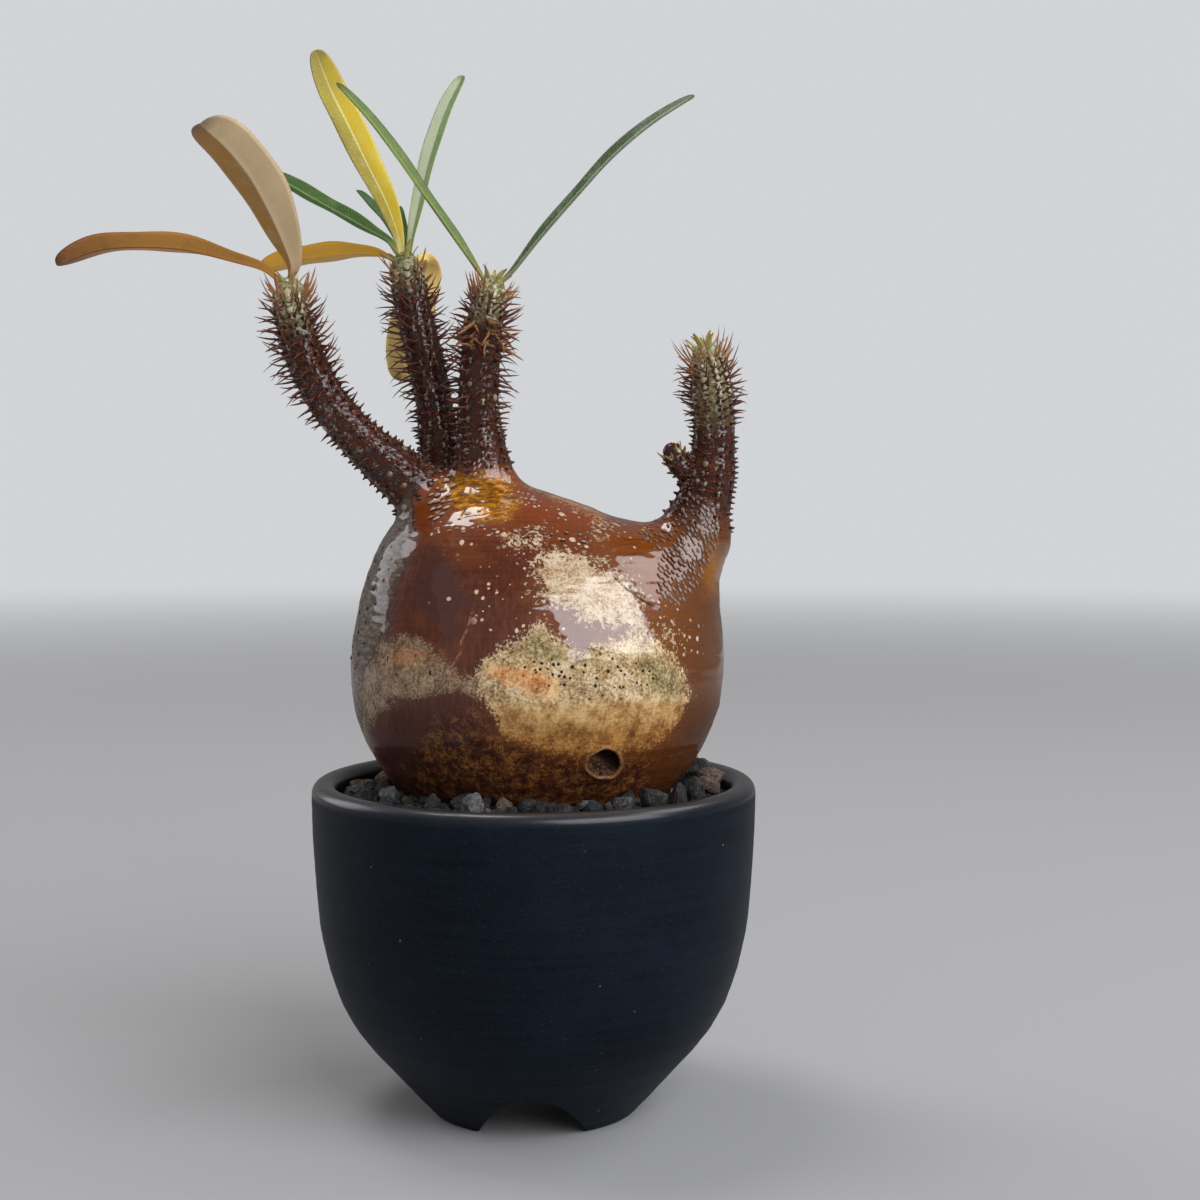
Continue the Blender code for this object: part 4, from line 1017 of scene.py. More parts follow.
# %% Copies of a small shape
def tube_template(rings, sides):
    """A closed tube round Z with one ring at each whole height, drawn to a point at its top."""
    bm = bmesh.new()
    bmesh.ops.create_circle(bm, cap_ends=True, segments=sides, radius=1)
    edges = bm.edges[:]
    for _ in range(rings - 1):
        made = bmesh.ops.extrude_edge_only(bm, edges=edges)["geom"]
        verts = [g for g in made if isinstance(g, bmesh.types.BMVert)]
        bmesh.ops.translate(bm, verts=verts, vec=(0, 0, 1))
        edges = [e for e in made if isinstance(e, bmesh.types.BMEdge) and all(v in verts for v in e.verts)]
    bmesh.ops.pointmerge(bm, verts=verts, merge_co=(0, 0, rings - 1))
    bmesh.ops.recalc_face_normals(bm, faces=bm.faces)
    return template_mesh(bm, "tube")


def ball_template(subdivisions):
    bm = bmesh.new()
    bmesh.ops.create_icosphere(bm, subdivisions=subdivisions, radius=1)
    return template_mesh(bm, "ball")


def template_mesh(bm, name):
    mesh = bpy.data.meshes.new(name)
    bm.to_mesh(mesh)
    bm.free()
    return mesh


def copied(template, places):
    """A bmesh with one copy of the template for each array of points in places."""
    bm = bmesh.new()
    for _ in places:
        bm.from_mesh(template)
    for vert, point in zip(bm.verts, np.concatenate(places)):
        vert.co = point
    return bm


# %% How one spine stands
SPINE_RINGS = 6
SPINE = tube_template(SPINE_RINGS, 5)
SPINE_FORM = points_of(SPINE)
SPINE_LENGTH, STUB_LENGTH, SPINE_ROOT = 5.6, 1.1, 0.68


def spine_points(foot, out, length, root, bend):
    """The template's points drawn out along a spine that starts at foot and bends towards its tip."""
    flare = 0.8  # millimetres from the skin to where the root's flare ends
    rest = length - flare
    heights = np.array([-0.45, 0.3, flare, flare + rest * 0.42, flare + rest * 0.78, length])
    widths = root * np.array([1.0, 0.72, 0.43, 0.33, 0.2, 0.0])
    ring = np.round(SPINE_FORM[:, 2]).astype(int)
    across = np.array(Vector(out).orthogonal().normalized())
    other = np.cross(out, across)
    s = heights[ring][:, None]
    turn = (SPINE_FORM[:, :1] * across + SPINE_FORM[:, 1:2] * other) * widths[ring][:, None]
    return foot + out * s + bend * (np.clip(s, 0, None) ** 2 / length) + turn


# %% Where a stem ends
def stem_crown(name):
    """The last station of a stem and its radius there."""
    *place, radius = STEMS[name][-1]
    return Vector(place), radius


# %% Where the spines stand
# For each stem: where its ribs start on the neck, their count and first turn from the front, their twist
# over the whole stem, the space along a rib, and the share of the stem where stubs end.
SPINY = {
    "branch_left": ((-25.5, -3.0, 147.0, 6.4), 9, 10, 30, 2.1, 0.42),
    "branch_back": ((-22.0, 7.4, 152.0, 5.0), 8, 30, -40, 2.1, 0.30),
    "branch_middle": ((-12.2, -2.7, 151.5, 5.4), 8, 27, 0, 2.1, 0.28),
    "branch_right": ((39.0, 0.0, 139.0, 7.0), 9, 12, 15, 2.0, 0.52),
    "side_shoot": ((40.0, -0.6, 149.4, 2.4), 6, 0, 30, 1.5, 1.0),
}
FRONT_WAY = np.array([0.0, -1.0, 0.0])
BRACT_STEM, BRACTS, BRACT_ROOT = "branch_middle", (0.62, 0.74), 1.0  # a collar of dried bracts
GROWN_OVER = 0.26  # the share of a stem over which stubs give way to whole spines
LOST_LOW, LOST_AT_CROWN = 0.12, 0.15  # the shares of cushions that have lost their spines
RIGHT_LONGEST, RIGHT_OUTER_LONGEST = 5.6, 4.6  # the right stem's spines stay inside the solid's box


def unit(vector):
    return vector / np.linalg.norm(vector)


# %% The cushions of a stem, and the spines on them
def cushions_of(name, rng):
    """The places of a stem's cushions: their point, the ways out and along, and the share of the stem."""
    neck, ribs, first, twist, spacing, _ = SPINY[name]
    path = [neck] + STEMS[name]
    length = sum(math.dist(a[:3], b[:3]) for a, b in zip(path, path[1:]))
    rows = int(length / spacing)
    starts, alongs, shares = [], [], []
    for rib in range(ribs):
        for row in range(rows):
            t = (row + 0.5 * (rib % 2) + 0.3 + rng.uniform(-0.12, 0.12)) / rows
            if t > 0.985:
                continue
            here = np.array(catmull_rom(path, t))
            ahead = np.array(catmull_rom(path, min(t + 0.02, 1)))
            behind = np.array(catmull_rom(path, max(t - 0.02, 0)))
            along = unit(ahead[:3] - behind[:3])
            front = unit(FRONT_WAY - along * (FRONT_WAY @ along))
            side = np.cross(front, along)
            turn = math.radians(first + 360 * rib / ribs + twist * t + rng.uniform(-4, 4))
            starts.append(here[:3] + here[3] * (front * math.cos(turn) + side * math.sin(turn)))
            alongs.append(along)
            shares.append(t)
    points, outs = settled(np.array(starts))
    return list(zip(points, outs, alongs, shares))


def spines_of(name, rng):
    """Points of every spine on a stem, and for each how young it is."""
    stub_end = SPINY[name][5]
    places, young = [], []
    for point, out, along, t in cushions_of(name, rng):
        side = np.cross(along, out)
        grown = min(max((t - stub_end + 0.07) / GROWN_OVER, 0), 1)
        crowned = 0.0 if name == "branch_right" else smooth_share((t - 0.78) / 0.14)
        if rng.random() < (LOST_LOW if grown < 1 else LOST_AT_CROWN * crowned):
            continue
        rise = math.radians(2 + 38 * t ** 3 + rng.uniform(-12, 12))
        for hand in (-1, 1):
            splay = hand * math.radians(rng.uniform(8, 38))
            way = unit(out * math.cos(rise) + along * math.sin(rise) + side * math.sin(splay))
            longer = (SPINE_LENGTH - STUB_LENGTH) * grown * rng.uniform(0.62, 1.0) * (1 - 0.3 * crowned)
            length = STUB_LENGTH + longer
            if name == "branch_right":
                length = min(length, RIGHT_OUTER_LONGEST if out[0] > 0.5 else RIGHT_LONGEST)
            root = SPINE_ROOT * rng.uniform(0.8, 1.1) * (1.0 if grown > 0.5 else 0.85)
            bend = np.array([0, 0, 1.0]) * rng.uniform(-0.9, 0.35) * grown + along * 0.8 * t ** 4
            places.append(spine_points(point + side * hand * 0.45, way, length, root, bend))
            young.append(smooth_share((t - 0.8) / 0.16))
        if name == BRACT_STEM and BRACTS[0] < t < BRACTS[1]:
            for _ in range(3):
                way = unit(out + along * rng.uniform(-0.5, 0.6) + side * rng.uniform(-0.8, 0.8))
                bend = np.array([rng.uniform(-1, 1), rng.uniform(-1, 1), rng.uniform(-1.2, 0.2)])
                places.append(spine_points(point, way, rng.uniform(2.4, 4.4), BRACT_ROOT, bend))
                young.append(rng.uniform(0.5, 0.9))
    return places, young


# %% [markdown]
# ## The spines' finish
# A spine is horn: reddish brown, nearly black at its root and tip, and straw-coloured to orange while
# it is young. The mesh carries the way along each spine and how young it is.

# %% Spines
def make_spine_finish():
    material, tree, shader, mm = new_material("spine_horn")
    way = painted_on(tree, "way")
    old = shades(way, (0.0, 40, 20, 16), (1.0, 36, 17, 14), (0.3, 94, 46, 32), (0.7, 126, 66, 46))
    fresh = shades(way, (0.0, 150, 146, 96), (1.0, 92, 50, 34), (0.25, 190, 142, 92), (0.7, 196, 122, 74))
    colour = mixed(painted_on(tree, "young"), old, fresh)
    uneven = cloud(mm, 0.35, 3.0)
    feed(mixed(times(uneven, 0.5), colour, paint(88, 46, 34)), shader.inputs["Base Color"])
    shader.inputs["Roughness"].default_value = 0.38
    return material


SPINE_HORN = make_spine_finish()
RING_HEIGHTS = np.array([-0.45, 0.3, 0.8, 2.6, 4.2, 5.4])  # a whole spine's rings, in millimetres
SPINE_WAY = np.clip(RING_HEIGHTS[np.round(SPINE_FORM[:, 2]).astype(int)] / RING_HEIGHTS[-1], 0, 1)
for seed, name in enumerate(SPINY):
    places, young = spines_of(name, random.Random(40 + seed))
    bm = copied(SPINE, places)
    spines = finish_piece(bm, "spines_" + name.replace("branch_", ""), SPINE_HORN, "stem_skin")
    carry(spines.data, "way", np.tile(SPINE_WAY, len(places)))
    carry(spines.data, "young", np.repeat(young, len(SPINE_WAY)))
print("spines on", len(SPINY), "stems")

# %% [markdown]
# ## Cushions, tubercles and crowns
# Each pair of spines stands on a small raised cushion. Low down the cushions are dark and worn, and at
# the crown they are pale green scales packed against each other. On the trunk's shoulders, where the
# spines fell off long ago, only small shiny tubercles are left, drawn out into short ridges. All of
# them are one small dome, turned and stretched to fit. Young leaves that haven't opened close a crown.

# %% Domes on the skin
DOME = ball_template(2)
DOME_FORM = points_of(DOME)


def dome_points(point, out, along, length, width, rise):
    """A dome on the skin, its length drawn out along the given way."""
    along = unit(along - out * (along @ out))
    side = np.cross(out, along)
    return point + (DOME_FORM * (length, width, rise)) @ np.array([along, side, out])


# %% Places strewn on the trunk's front
def front_points(flat):
    """Where the skin's front is met at places given across and up."""
    points = np.array([(x, -70.0, z) for x, z in flat])
    for _ in range(60):
        points[:, 1] += 0.85 * body_distance(points)
    return settled(points, 2)


def strewn_in(corners, count, space, rng):
    """Places strewn inside an outline on the front, each at least a given space from the others."""
    low, high = np.min(corners, axis=0), np.max(corners, axis=0)
    found = []
    for _ in range(count * 60):
        place = np.array([rng.uniform(low[0], high[0]), 0, rng.uniform(low[1], high[1])])
        if outline_depth(place[None, :], corners)[0] > 0 and all(math.dist(place, p) > space for p in found):
            found.append(place)
        if len(found) == count:
            break
    return [(p[0], p[2]) for p in found]


# %% Where the tubercles are
TUBERCLE_FIELDS = [  # outline on the front, how many, space, lie (across, up), size and paleness
    ([(-22.6, 151.4), (-20.5, 152.8), (-18.2, 149.5), (-18.8, 145.3), (-20.3, 140.6), (-23.8, 140.5),
      (-23.6, 146.2)],
     26, 1.35, (0.9, 0.45), 1.0, 1.0),
    ([(-15.0, 154.1), (-11.1, 155.1), (-5.2, 151.4), (-3.7, 147.1), (0.5, 146.4), (1.1, 144.2),
      (-5.0, 145.0), (-7.3, 148.3), (-13.5, 151.0)],
     54, 1.05, (0.5, 0.9), 0.75, 0.9),
    ([(-18.5, 141.5), (-11.0, 143.0), (-9.0, 140.0), (-16.0, 137.5), (-22.0, 139.0)],
     12, 1.7, (0.9, 0.2), 0.95, 0.7),
    ([(-9.0, 139.0), (-4.0, 139.5), (12.0, 137.5), (12.5, 135.8), (-4.0, 137.2), (-9.5, 136.0)],
     15, 1.5, (1, 0.1), 0.8, 0.8),
    ([(29.2, 131.6), (34.3, 136.6), (40.0, 143.8), (43.3, 142.1), (42.8, 134.8), (38.9, 126.9),
      (33.5, 121.4), (28.7, 123.0)],
     150, 0.95, (-0.45, 0.9), 0.95, 0.5),
    ([(24.6, 137.1), (29.8, 141.6), (36.8, 147.4), (40.0, 145.4), (34.3, 137.9), (28.4, 133.6)],
     60, 1.15, (-0.45, 0.9), 0.95, 0.3),
    ([(-25.0, 141.0), (-28.0, 137.0), (-33.0, 128.0), (-37.0, 118.0), (-41.0, 104.0), (-43.5, 106.0),
      (-42.0, 118.0), (-37.0, 131.0), (-31.0, 140.0)],
     44, 2.2, (0.2, 1), 0.62, 0.0),
    ([(26.0, 116.0), (33.0, 119.0), (36.0, 112.0), (34.0, 106.0), (30.0, 112.0)],
     16, 1.9, (0.3, 0.9), 0.6, 0.8),
]


# %% How domes are finished
def make_horn(name, deep, high, roughness):
    """Domes are dark where they leave the skin and light on top, as the mesh says.
    The light top is partly the horn's own pale tip and partly a painted highlight.
    """
    material, tree, shader, mm = new_material(name)
    uneven = cloud(mm, 0.9, 4.0, 0.7)
    dark = mixed(uneven, paint(40, 20, 17), paint(92, 46, 32))
    light = mixed(painted_on(tree, "pale"), dark, mixed(uneven, deep, high))
    # The light top is partly the horn's pale tip and partly a painted highlight.
    lift = grown_from(plus(painted_on(tree, "top"), times(uneven, 0.3)), 0.25, 0.95)
    feed(mixed(lift, dark, light), shader.inputs["Base Color"])
    shader.inputs["Roughness"].default_value = roughness
    shader.inputs["Coat Weight"].default_value = 0.6
    shader.inputs["Coat Roughness"].default_value = 0.12
    bumped(shader, uneven, 0.2)
    return material


def finish_domes(name, material, places, pale):
    piece = finish_piece(copied(DOME, places), name, material, "stem_skin")
    carry(piece.data, "top", np.tile(np.clip(DOME_FORM[:, 2], 0, 1), len(places)))
    carry(piece.data, "pale", np.repeat(pale, len(DOME_FORM)))


# %% Tubercles on the trunk's shoulders
rng = random.Random(5)
places, pale = [], []
for corners, count, space, lie, size, paleness in TUBERCLE_FIELDS:
    points, outs = front_points(strewn_in(corners, count, space, rng))
    for point, out in zip(points, outs):
        lie_here = np.array([lie[0] + rng.uniform(-0.2, 0.2), 0, lie[1] + rng.uniform(-0.2, 0.2)])
        length = size * rng.uniform(0.55, 1.05)
        width = length * rng.uniform(0.4, 0.6)
        places.append(dome_points(point, out, lie_here, length, width, 0.42 * size))
        pale.append(paleness * rng.uniform(0.5, 1))
TUBERCLE = make_horn("tubercle_horn", paint(138, 92, 62), paint(232, 214, 196), 0.25)
finish_domes("tubercles", TUBERCLE, places, pale)

# %% Cushions on the stems
# The share of each stem where its scales start to turn green.
CROWN_STARTS = dict.fromkeys(SPINY, 0.74) | {"branch_right": 0.56}

places, pale = [], []
for seed, name in enumerate(SPINY):
    rng = random.Random(40 + seed)
    for point, out, along, t in cushions_of(name, rng):
        young = float(smooth_share((t - CROWN_STARTS[name]) / 0.2))
        size = (0.85 + 0.2 * young) * rng.uniform(0.85, 1.1) * (0.7 if name == "side_shoot" else 1)
        leaning = unit(out + along * 0.55 * young)
        length = size * (1.05 + 0.5 * young)
        places.append(dome_points(point - out * 0.25, leaning, along, length, size * 0.95, size * 0.8))
        pale.append(young * rng.uniform(0.8, 1) + (1 - young) * rng.choice((0, 0, 0, 0.25, 0.5)))
CUSHION = make_horn("cushion_skin", paint(136, 130, 86), paint(232, 224, 188), 0.45)
finish_domes("cushions", CUSHION, places, pale)

# %% Closed young leaves on the crowns
BUD_LEAVES = {  # how many on a stem's crown, and how long
    "branch_left": (9, 3.6), "branch_back": (10, 4.4), "branch_middle": (9, 4.2), "branch_right": (12, 5.0),
}
LEAF_TURN = math.radians(137.5)  # from each leaf to the next, round a crown


def young_leaf_template():
    """A small folded blade on its side: along X, across Y."""
    bm = bmesh.new()
    bmesh.ops.create_grid(bm, x_segments=8, y_segments=4, size=1)
    bmesh.ops.solidify(bm, geom=bm.faces[:], thickness=0.02)
    bmesh.ops.recalc_face_normals(bm, faces=bm.faces)
    return template_mesh(bm, "young leaf")


YOUNG_LEAF = young_leaf_template()
YOUNG_FORM = points_of(YOUNG_LEAF)


def young_leaf_points(root, way, out, length, width, curl):
    """The template drawn out from its root, narrow at both ends, folded and bent outwards."""
    side = unit(np.cross(way, out))
    t = (YOUNG_FORM[:, 0] + 1) / 2
    half = width / 2 * np.sin(np.pi * (0.14 + 0.83 * t)) ** 0.8
    across = YOUNG_FORM[:, 1] * half
    lift = np.abs(YOUNG_FORM[:, 1]) * half * 0.5 + YOUNG_FORM[:, 2] * 12
    path = np.outer(t * length, way) + np.outer(curl * t ** 2, out)
    return root + path + np.outer(across, side) - np.outer(lift, out)


places = []
for seed, (name, (count, length)) in enumerate(BUD_LEAVES.items()):
    rng = random.Random(80 + seed)
    crown, radius = stem_crown(name)
    below = Vector(STEMS[name][-2][:3])
    axis = (crown - below).normalized()
    for k in range(count):
        turn = k * LEAF_TURN
        open_out = 0.25 + 0.75 * k / count
        across = Matrix.Rotation(turn, 3, axis) @ axis.orthogonal().normalized()
        way = (axis + across * (0.25 + 0.75 * open_out)).normalized()
        root = crown + across * radius * 0.75 * open_out + axis * (radius * 0.8 * (1.1 - open_out))
        size = length * rng.uniform(0.7, 1.0)
        places.append(young_leaf_points(np.array(root), np.array(way), np.array(across), size,
                                        size * 0.32, 0.6 * rng.uniform(0.2, 1)))


def make_bud_finish():
    material, tree, shader, mm = new_material("young_leaf")
    along = painted_on(tree, "along")
    colour = shades(along, (0.0, 150, 156, 92), (1.0, 120, 66, 36), (0.55, 190, 190, 112),
                    (0.82, 196, 146, 80))
    mottle = cloud(mm, 0.8, 4.0, 0.6)
    feed(mixed(times(mottle, 0.3), colour, paint(120, 130, 70)), shader.inputs["Base Color"])
    shader.inputs["Roughness"].default_value = 0.45
    return material


bud_leaves = finish_piece(copied(YOUNG_LEAF, places), "young_leaves", make_bud_finish(), "leaf_pale")
carry(bud_leaves.data, "along", np.tile((YOUNG_FORM[:, 0] + 1) / 2, len(places)))

# %% [markdown]
# ## Leaves
# Each leaf is a narrow leathery blade with a pale midrib that stands out below. Its section is a
# closed lens, swept along the leaf's own curve, so the midrib, the fold and the waved margin are all
# in the mesh. The solids' paths are repeated here, with the way that each upper face looks.

# %% The leaves' shapes
LEAF_BASE = 1.7
LEAVES = {  # the stem it grows on, its turn and rise there, its width, which way it faces, and its path
    "leaf_left_low": ("branch_left", 188, 40, 9.0, (0.03, 0.4, 1),
                      [(-61.8, -9.2, 198.4), (-69.6, -9.6, 200.6), (-79.3, -10.2, 202.8),
                       (-89.3, -10.8, 203.4), (-99.3, -11.4, 202.5), (-108.8, -12.0, 199.0)]),
    "leaf_left_broad": ("branch_left", 285, 62, 12.4, (0.25, 0.9, 0.35),
                        [(-55.0, -11.2, 199.4), (-56.4, -16.6, 205.0), (-58.7, -22.7, 211.3),
                         (-61.5, -28.8, 217.0), (-65.2, -34.9, 221.8), (-69.4, -41.0, 225.4)]),
    "leaf_back_amber": ("branch_back", 175, 25, 7.2, (0, 0.55, 0.85),
                        [(-38.2, 12.4, 204.6), (-44.5, 14.5, 205.0), (-52.3, 17.0, 204.6),
                         (-60.1, 19.5, 203.6), (-68.0, 22.0, 201.8)]),
    "leaf_back_dark": ("branch_back", 150, 55, 6.2, (0.3, -0.6, 0.75),
                       [(-35.4, 12.4, 207.5), (-40.2, 12.8, 210.3), (-46.4, 13.5, 213.8),
                        (-52.5, 14.1, 217.2), (-58.5, 14.8, 220.7), (-64.4, 15.4, 224.4)]),
    "leaf_back_yellow": ("branch_back", 235, 62, 7.4, (0.35, -0.9, 0.2),
                         [(-32.7, 7.8, 208.6), (-35.4, 6.0, 216.3), (-39.5, 4.0, 224.7),
                          (-43.5, 2.0, 233.1), (-47.5, 0.0, 241.3), (-50.7, -2.0, 249.8)]),
    "leaf_back_pale": ("branch_back", 330, 62, 5.1, (-0.5, -0.8, 0.25),
                       [(-29.5, 10.4, 208.6), (-28.1, 11.4, 215.7), (-26.3, 12.5, 224.0),
                        (-24.0, 13.5, 232.2), (-21.2, 14.6, 240.2), (-17.3, 15.6, 247.8)]),
    "leaf_back_short": ("branch_back", 110, 30, 3.6, (0.5, -0.5, 0.7),
                        [(-33.2, 17.2, 207.2), (-37.0, 20.6, 213.3), (-40.9, 23.3, 217.8),
                         (-44.6, 26.2, 222.0)]),
    "leaf_back_young": ("branch_back", 70, 65, 2.1, (-0.2, -0.8, 0.5),
                        [(-31.2, 13.4, 208.3), (-32.3, 15.5, 212.6), (-33.4, 17.4, 216.7)]),
    "leaf_back_hanging": ("branch_back", 58, 22, 10.6, (0.1, 1, 0.15),
                          [(-27.0, 17.8, 203.8), (-27.2, 21.6, 202.0), (-29.6, 22.6, 196.9),
                           (-31.4, 23.4, 190.1), (-32.8, 23.9, 182.8), (-33.9, 24.6, 174.6)]),
    "leaf_middle_left": ("branch_middle", 195, 48, 5.6, (0.75, -0.4, 0.6),
                         [(-13.6, -5.2, 200.0), (-18.1, -5.8, 206.2), (-24.5, -6.7, 215.1),
                          (-30.9, -7.5, 224.1), (-37.5, -8.4, 232.7), (-44.8, -9.2, 240.7)]),
    "leaf_middle_right": ("branch_middle", 350, 38, 5.8, (-0.7, -0.5, 0.7),
                          [(-4.6, -4.5, 198.6), (2.0, -5.1, 206.5), (10.1, -5.8, 215.5),
                           (18.3, -6.6, 224.2), (27.5, -7.3, 231.8), (37.5, -8.0, 238.1)]),
}


# %% A leaf's path and width
def leaf_path(name):
    """The midline's points, led in from just above the skin of the stem's crown."""
    stem, turn, rise, _, _, path = LEAVES[name]
    crown, radius = stem_crown(stem)
    turn, rise = math.radians(turn), math.radians(rise)
    out = Vector((math.cos(turn) * math.cos(rise), math.sin(turn) * math.cos(rise), math.sin(rise)))
    return [tuple(crown + out * (radius - 0.4))] + path


def leaf_half_width(width, t):
    """Half the blade's width at t: a narrow stalk, widest past the middle, round at the tip."""
    open_out = min(max((t - 0.04) / 0.56, 0.0), 1.0)
    blade = LEAF_BASE + (width - LEAF_BASE) * math.sin(open_out * math.pi / 2) ** 1.4
    tip = min(max((t - 0.78) / 0.22, 0.0), 1.0)
    return blade / 2 * math.sqrt(max(1 - tip ** 2.2, 0.0))


# %% One blade
LEAF_GRID = (60, 36)  # faces along a blade and round its section
LEAF_FOLD = 0.16
BLADE_HALF, MARGIN_HALF, RIB_RISE, RIB_REACH, GROOVE = 0.23, 0.13, 0.42, 0.55, 0.12


def leaf_thickness(across, half, under, t):
    """How far the upper or under face stands off the middle of the blade, in millimetres."""
    rib = math.exp(-(across * half / (RIB_REACH * (1.15 - 0.6 * t))) ** 2) * (1 - 0.8 * t)
    plain = MARGIN_HALF + (BLADE_HALF - MARGIN_HALF) * (1 - across * across)
    return plain + (RIB_RISE if under else -GROOVE) * rib


def make_blade(name):
    """A closed blade: a grid rolled into a flat lens and swept along the leaf's midline."""
    width, face = LEAVES[name][3], Vector(LEAVES[name][4]).normalized()
    points = leaf_path(name)
    bm = bmesh.new()
    bmesh.ops.create_grid(bm, x_segments=LEAF_GRID[0], y_segments=LEAF_GRID[1], size=1)
    layers = [bm.verts.layers.float.new(key) for key in ("along", "across", "under")]
    phase = width * 7.0
    for vert in bm.verts:
        along = 1 - (1 - (vert.co.x + 1) / 2) ** 1.3
        under = vert.co.y > 0
        u = 1 - 2 * vert.co.y if under else 1 + 2 * vert.co.y
        across = math.copysign(abs(u) ** 1.4, u)
        at = Vector(catmull_rom(points, along))
        ahead = Vector(catmull_rom(points, min(along + 0.02, 1)))
        behind = Vector(catmull_rom(points, max(along - 0.02, 0)))
        axis = (ahead - behind).normalized()
        side = axis.cross(face).normalized()
        up = side.cross(axis)
        half = leaf_half_width(width, along)
        fold = LEAF_FOLD * 2 * half * abs(across) ** 1.15
        wave = 0.03 * width * across * across * math.sin(along * 17 + phase + across)
        wave *= math.sin(along * math.pi)
        off = leaf_thickness(across, half, under, along) * math.sqrt(max(1 - abs(u) ** 5, 0))
        off *= min(half / 1.2, 1)
        vert.co = at + side * across * half + up * (fold + wave + (-off if under else off))
        for layer, value in zip(layers, (along, across, float(under))):
            vert[layer] = value
    bmesh.ops.remove_doubles(bm, verts=bm.verts, dist=0.004)
    ends = [e for e in bm.edges if e.is_boundary]
    bmesh.ops.holes_fill(bm, edges=ends, sides=len(ends))
    bmesh.ops.recalc_face_normals(bm, faces=bm.faces)
    return bm


# %% [markdown]
# ## The leaves' finish
# These leaves are ageing at different speeds: some are still dark green, others have turned amber, tan
# or bright yellow, and several are two colours, one on each side of the midrib. On the two left leaves
# that split is partly painted light, one side painted as lit and the other as shaded. All share one
# pattern of side veins, a pale midrib, a dusty bloom and a brown tip, which is a group with its own masks.

# %% The leaf pattern as a node group
def make_leaf_pattern():
    tree, given, out = new_group("leaf pattern", ("Where", "Along", "Across", "Rib"),
                                 ("Midrib", "Veins", "Mottle", "Tip", "Margin"))
    where, along, off = given["Where"], given["Along"], maths("ABSOLUTE", given["Across"])
    feed(minus(1.0, grown_from(off, times(given["Rib"], 0.5), given["Rib"])), out["Midrib"])
    slant = plus(minus(times(along, 42.0), times(off, 2.4)), times(cloud(where, 0.25, 2.0), 1.6))
    wave = maths("ABSOLUTE", minus(maths("FRACT", slant), 0.5))
    feed(grown_from(wave, 0.36, 0.5), out["Veins"])
    feed(cloud(where, 0.3, 6.0, 0.65), out["Mottle"])
    feed(grown_from(plus(along, times(cloud(where, 0.6, 4.0), 0.09)), 0.97, 1.05), out["Tip"])
    feed(grown_from(off, 0.86, 0.98), out["Margin"])
    return tree


LEAF_PATTERN = make_leaf_pattern()
print("leaf pattern of", len(LEAF_PATTERN.nodes), "nodes")


# %% One leaf's finish
def make_leaf_finish(name, near, far, under, rib, tip, base, rib_width=0.11, gloss=0.42, under_share=0.8,
                     ripe=0.0):
    """Near and far are the colours on the two sides of the midrib, ripe is how far the tip's reaches."""
    near, far, under, rib, tip, base = (paint(*colour) for colour in (near, far, under, rib, tip, base))
    material, tree, shader, mm = new_material(name)
    along, across = painted_on(tree, "along"), painted_on(tree, "across")
    pattern = place_group(LEAF_PATTERN, Where=mm, Along=along, Across=across, Rib=rib_width)
    midrib, veins, mottle, at_tip, margin = pattern
    blade = mixed(grown_from(plus(across, times(mottle, 0.04)), -0.01, 0.05), near, far)
    for share, colour in ((times(painted_on(tree, "under"), under_share), under),
                          (times(grown_from(mottle, 0.45, 0.7), 0.22), rib), (times(veins, 0.16), rib),
                          (minus(1.0, grown_from(along, 0.0, 0.22)), base), (times(midrib, 0.8), rib),
                          (times(margin, 0.4), rib)):
        blade = mixed(share, blade, colour)
    if ripe:
        ripened = grown_from(plus(along, times(mottle, 0.2)), 1.1 - ripe, 1.14)
        blade = mixed(times(ripened, 0.75), blade, tip)
    feed(mixed(times(at_tip, 0.85), blade, tip), shader.inputs["Base Color"])
    feed(plus(times(mottle, 0.2), gloss - 0.1), shader.inputs["Roughness"])
    bumped(shader, plus(times(veins, 0.5), mottle), 0.07)
    return material


# %% The eleven leaves
GREEN_UNDER = (136, 148, 116)
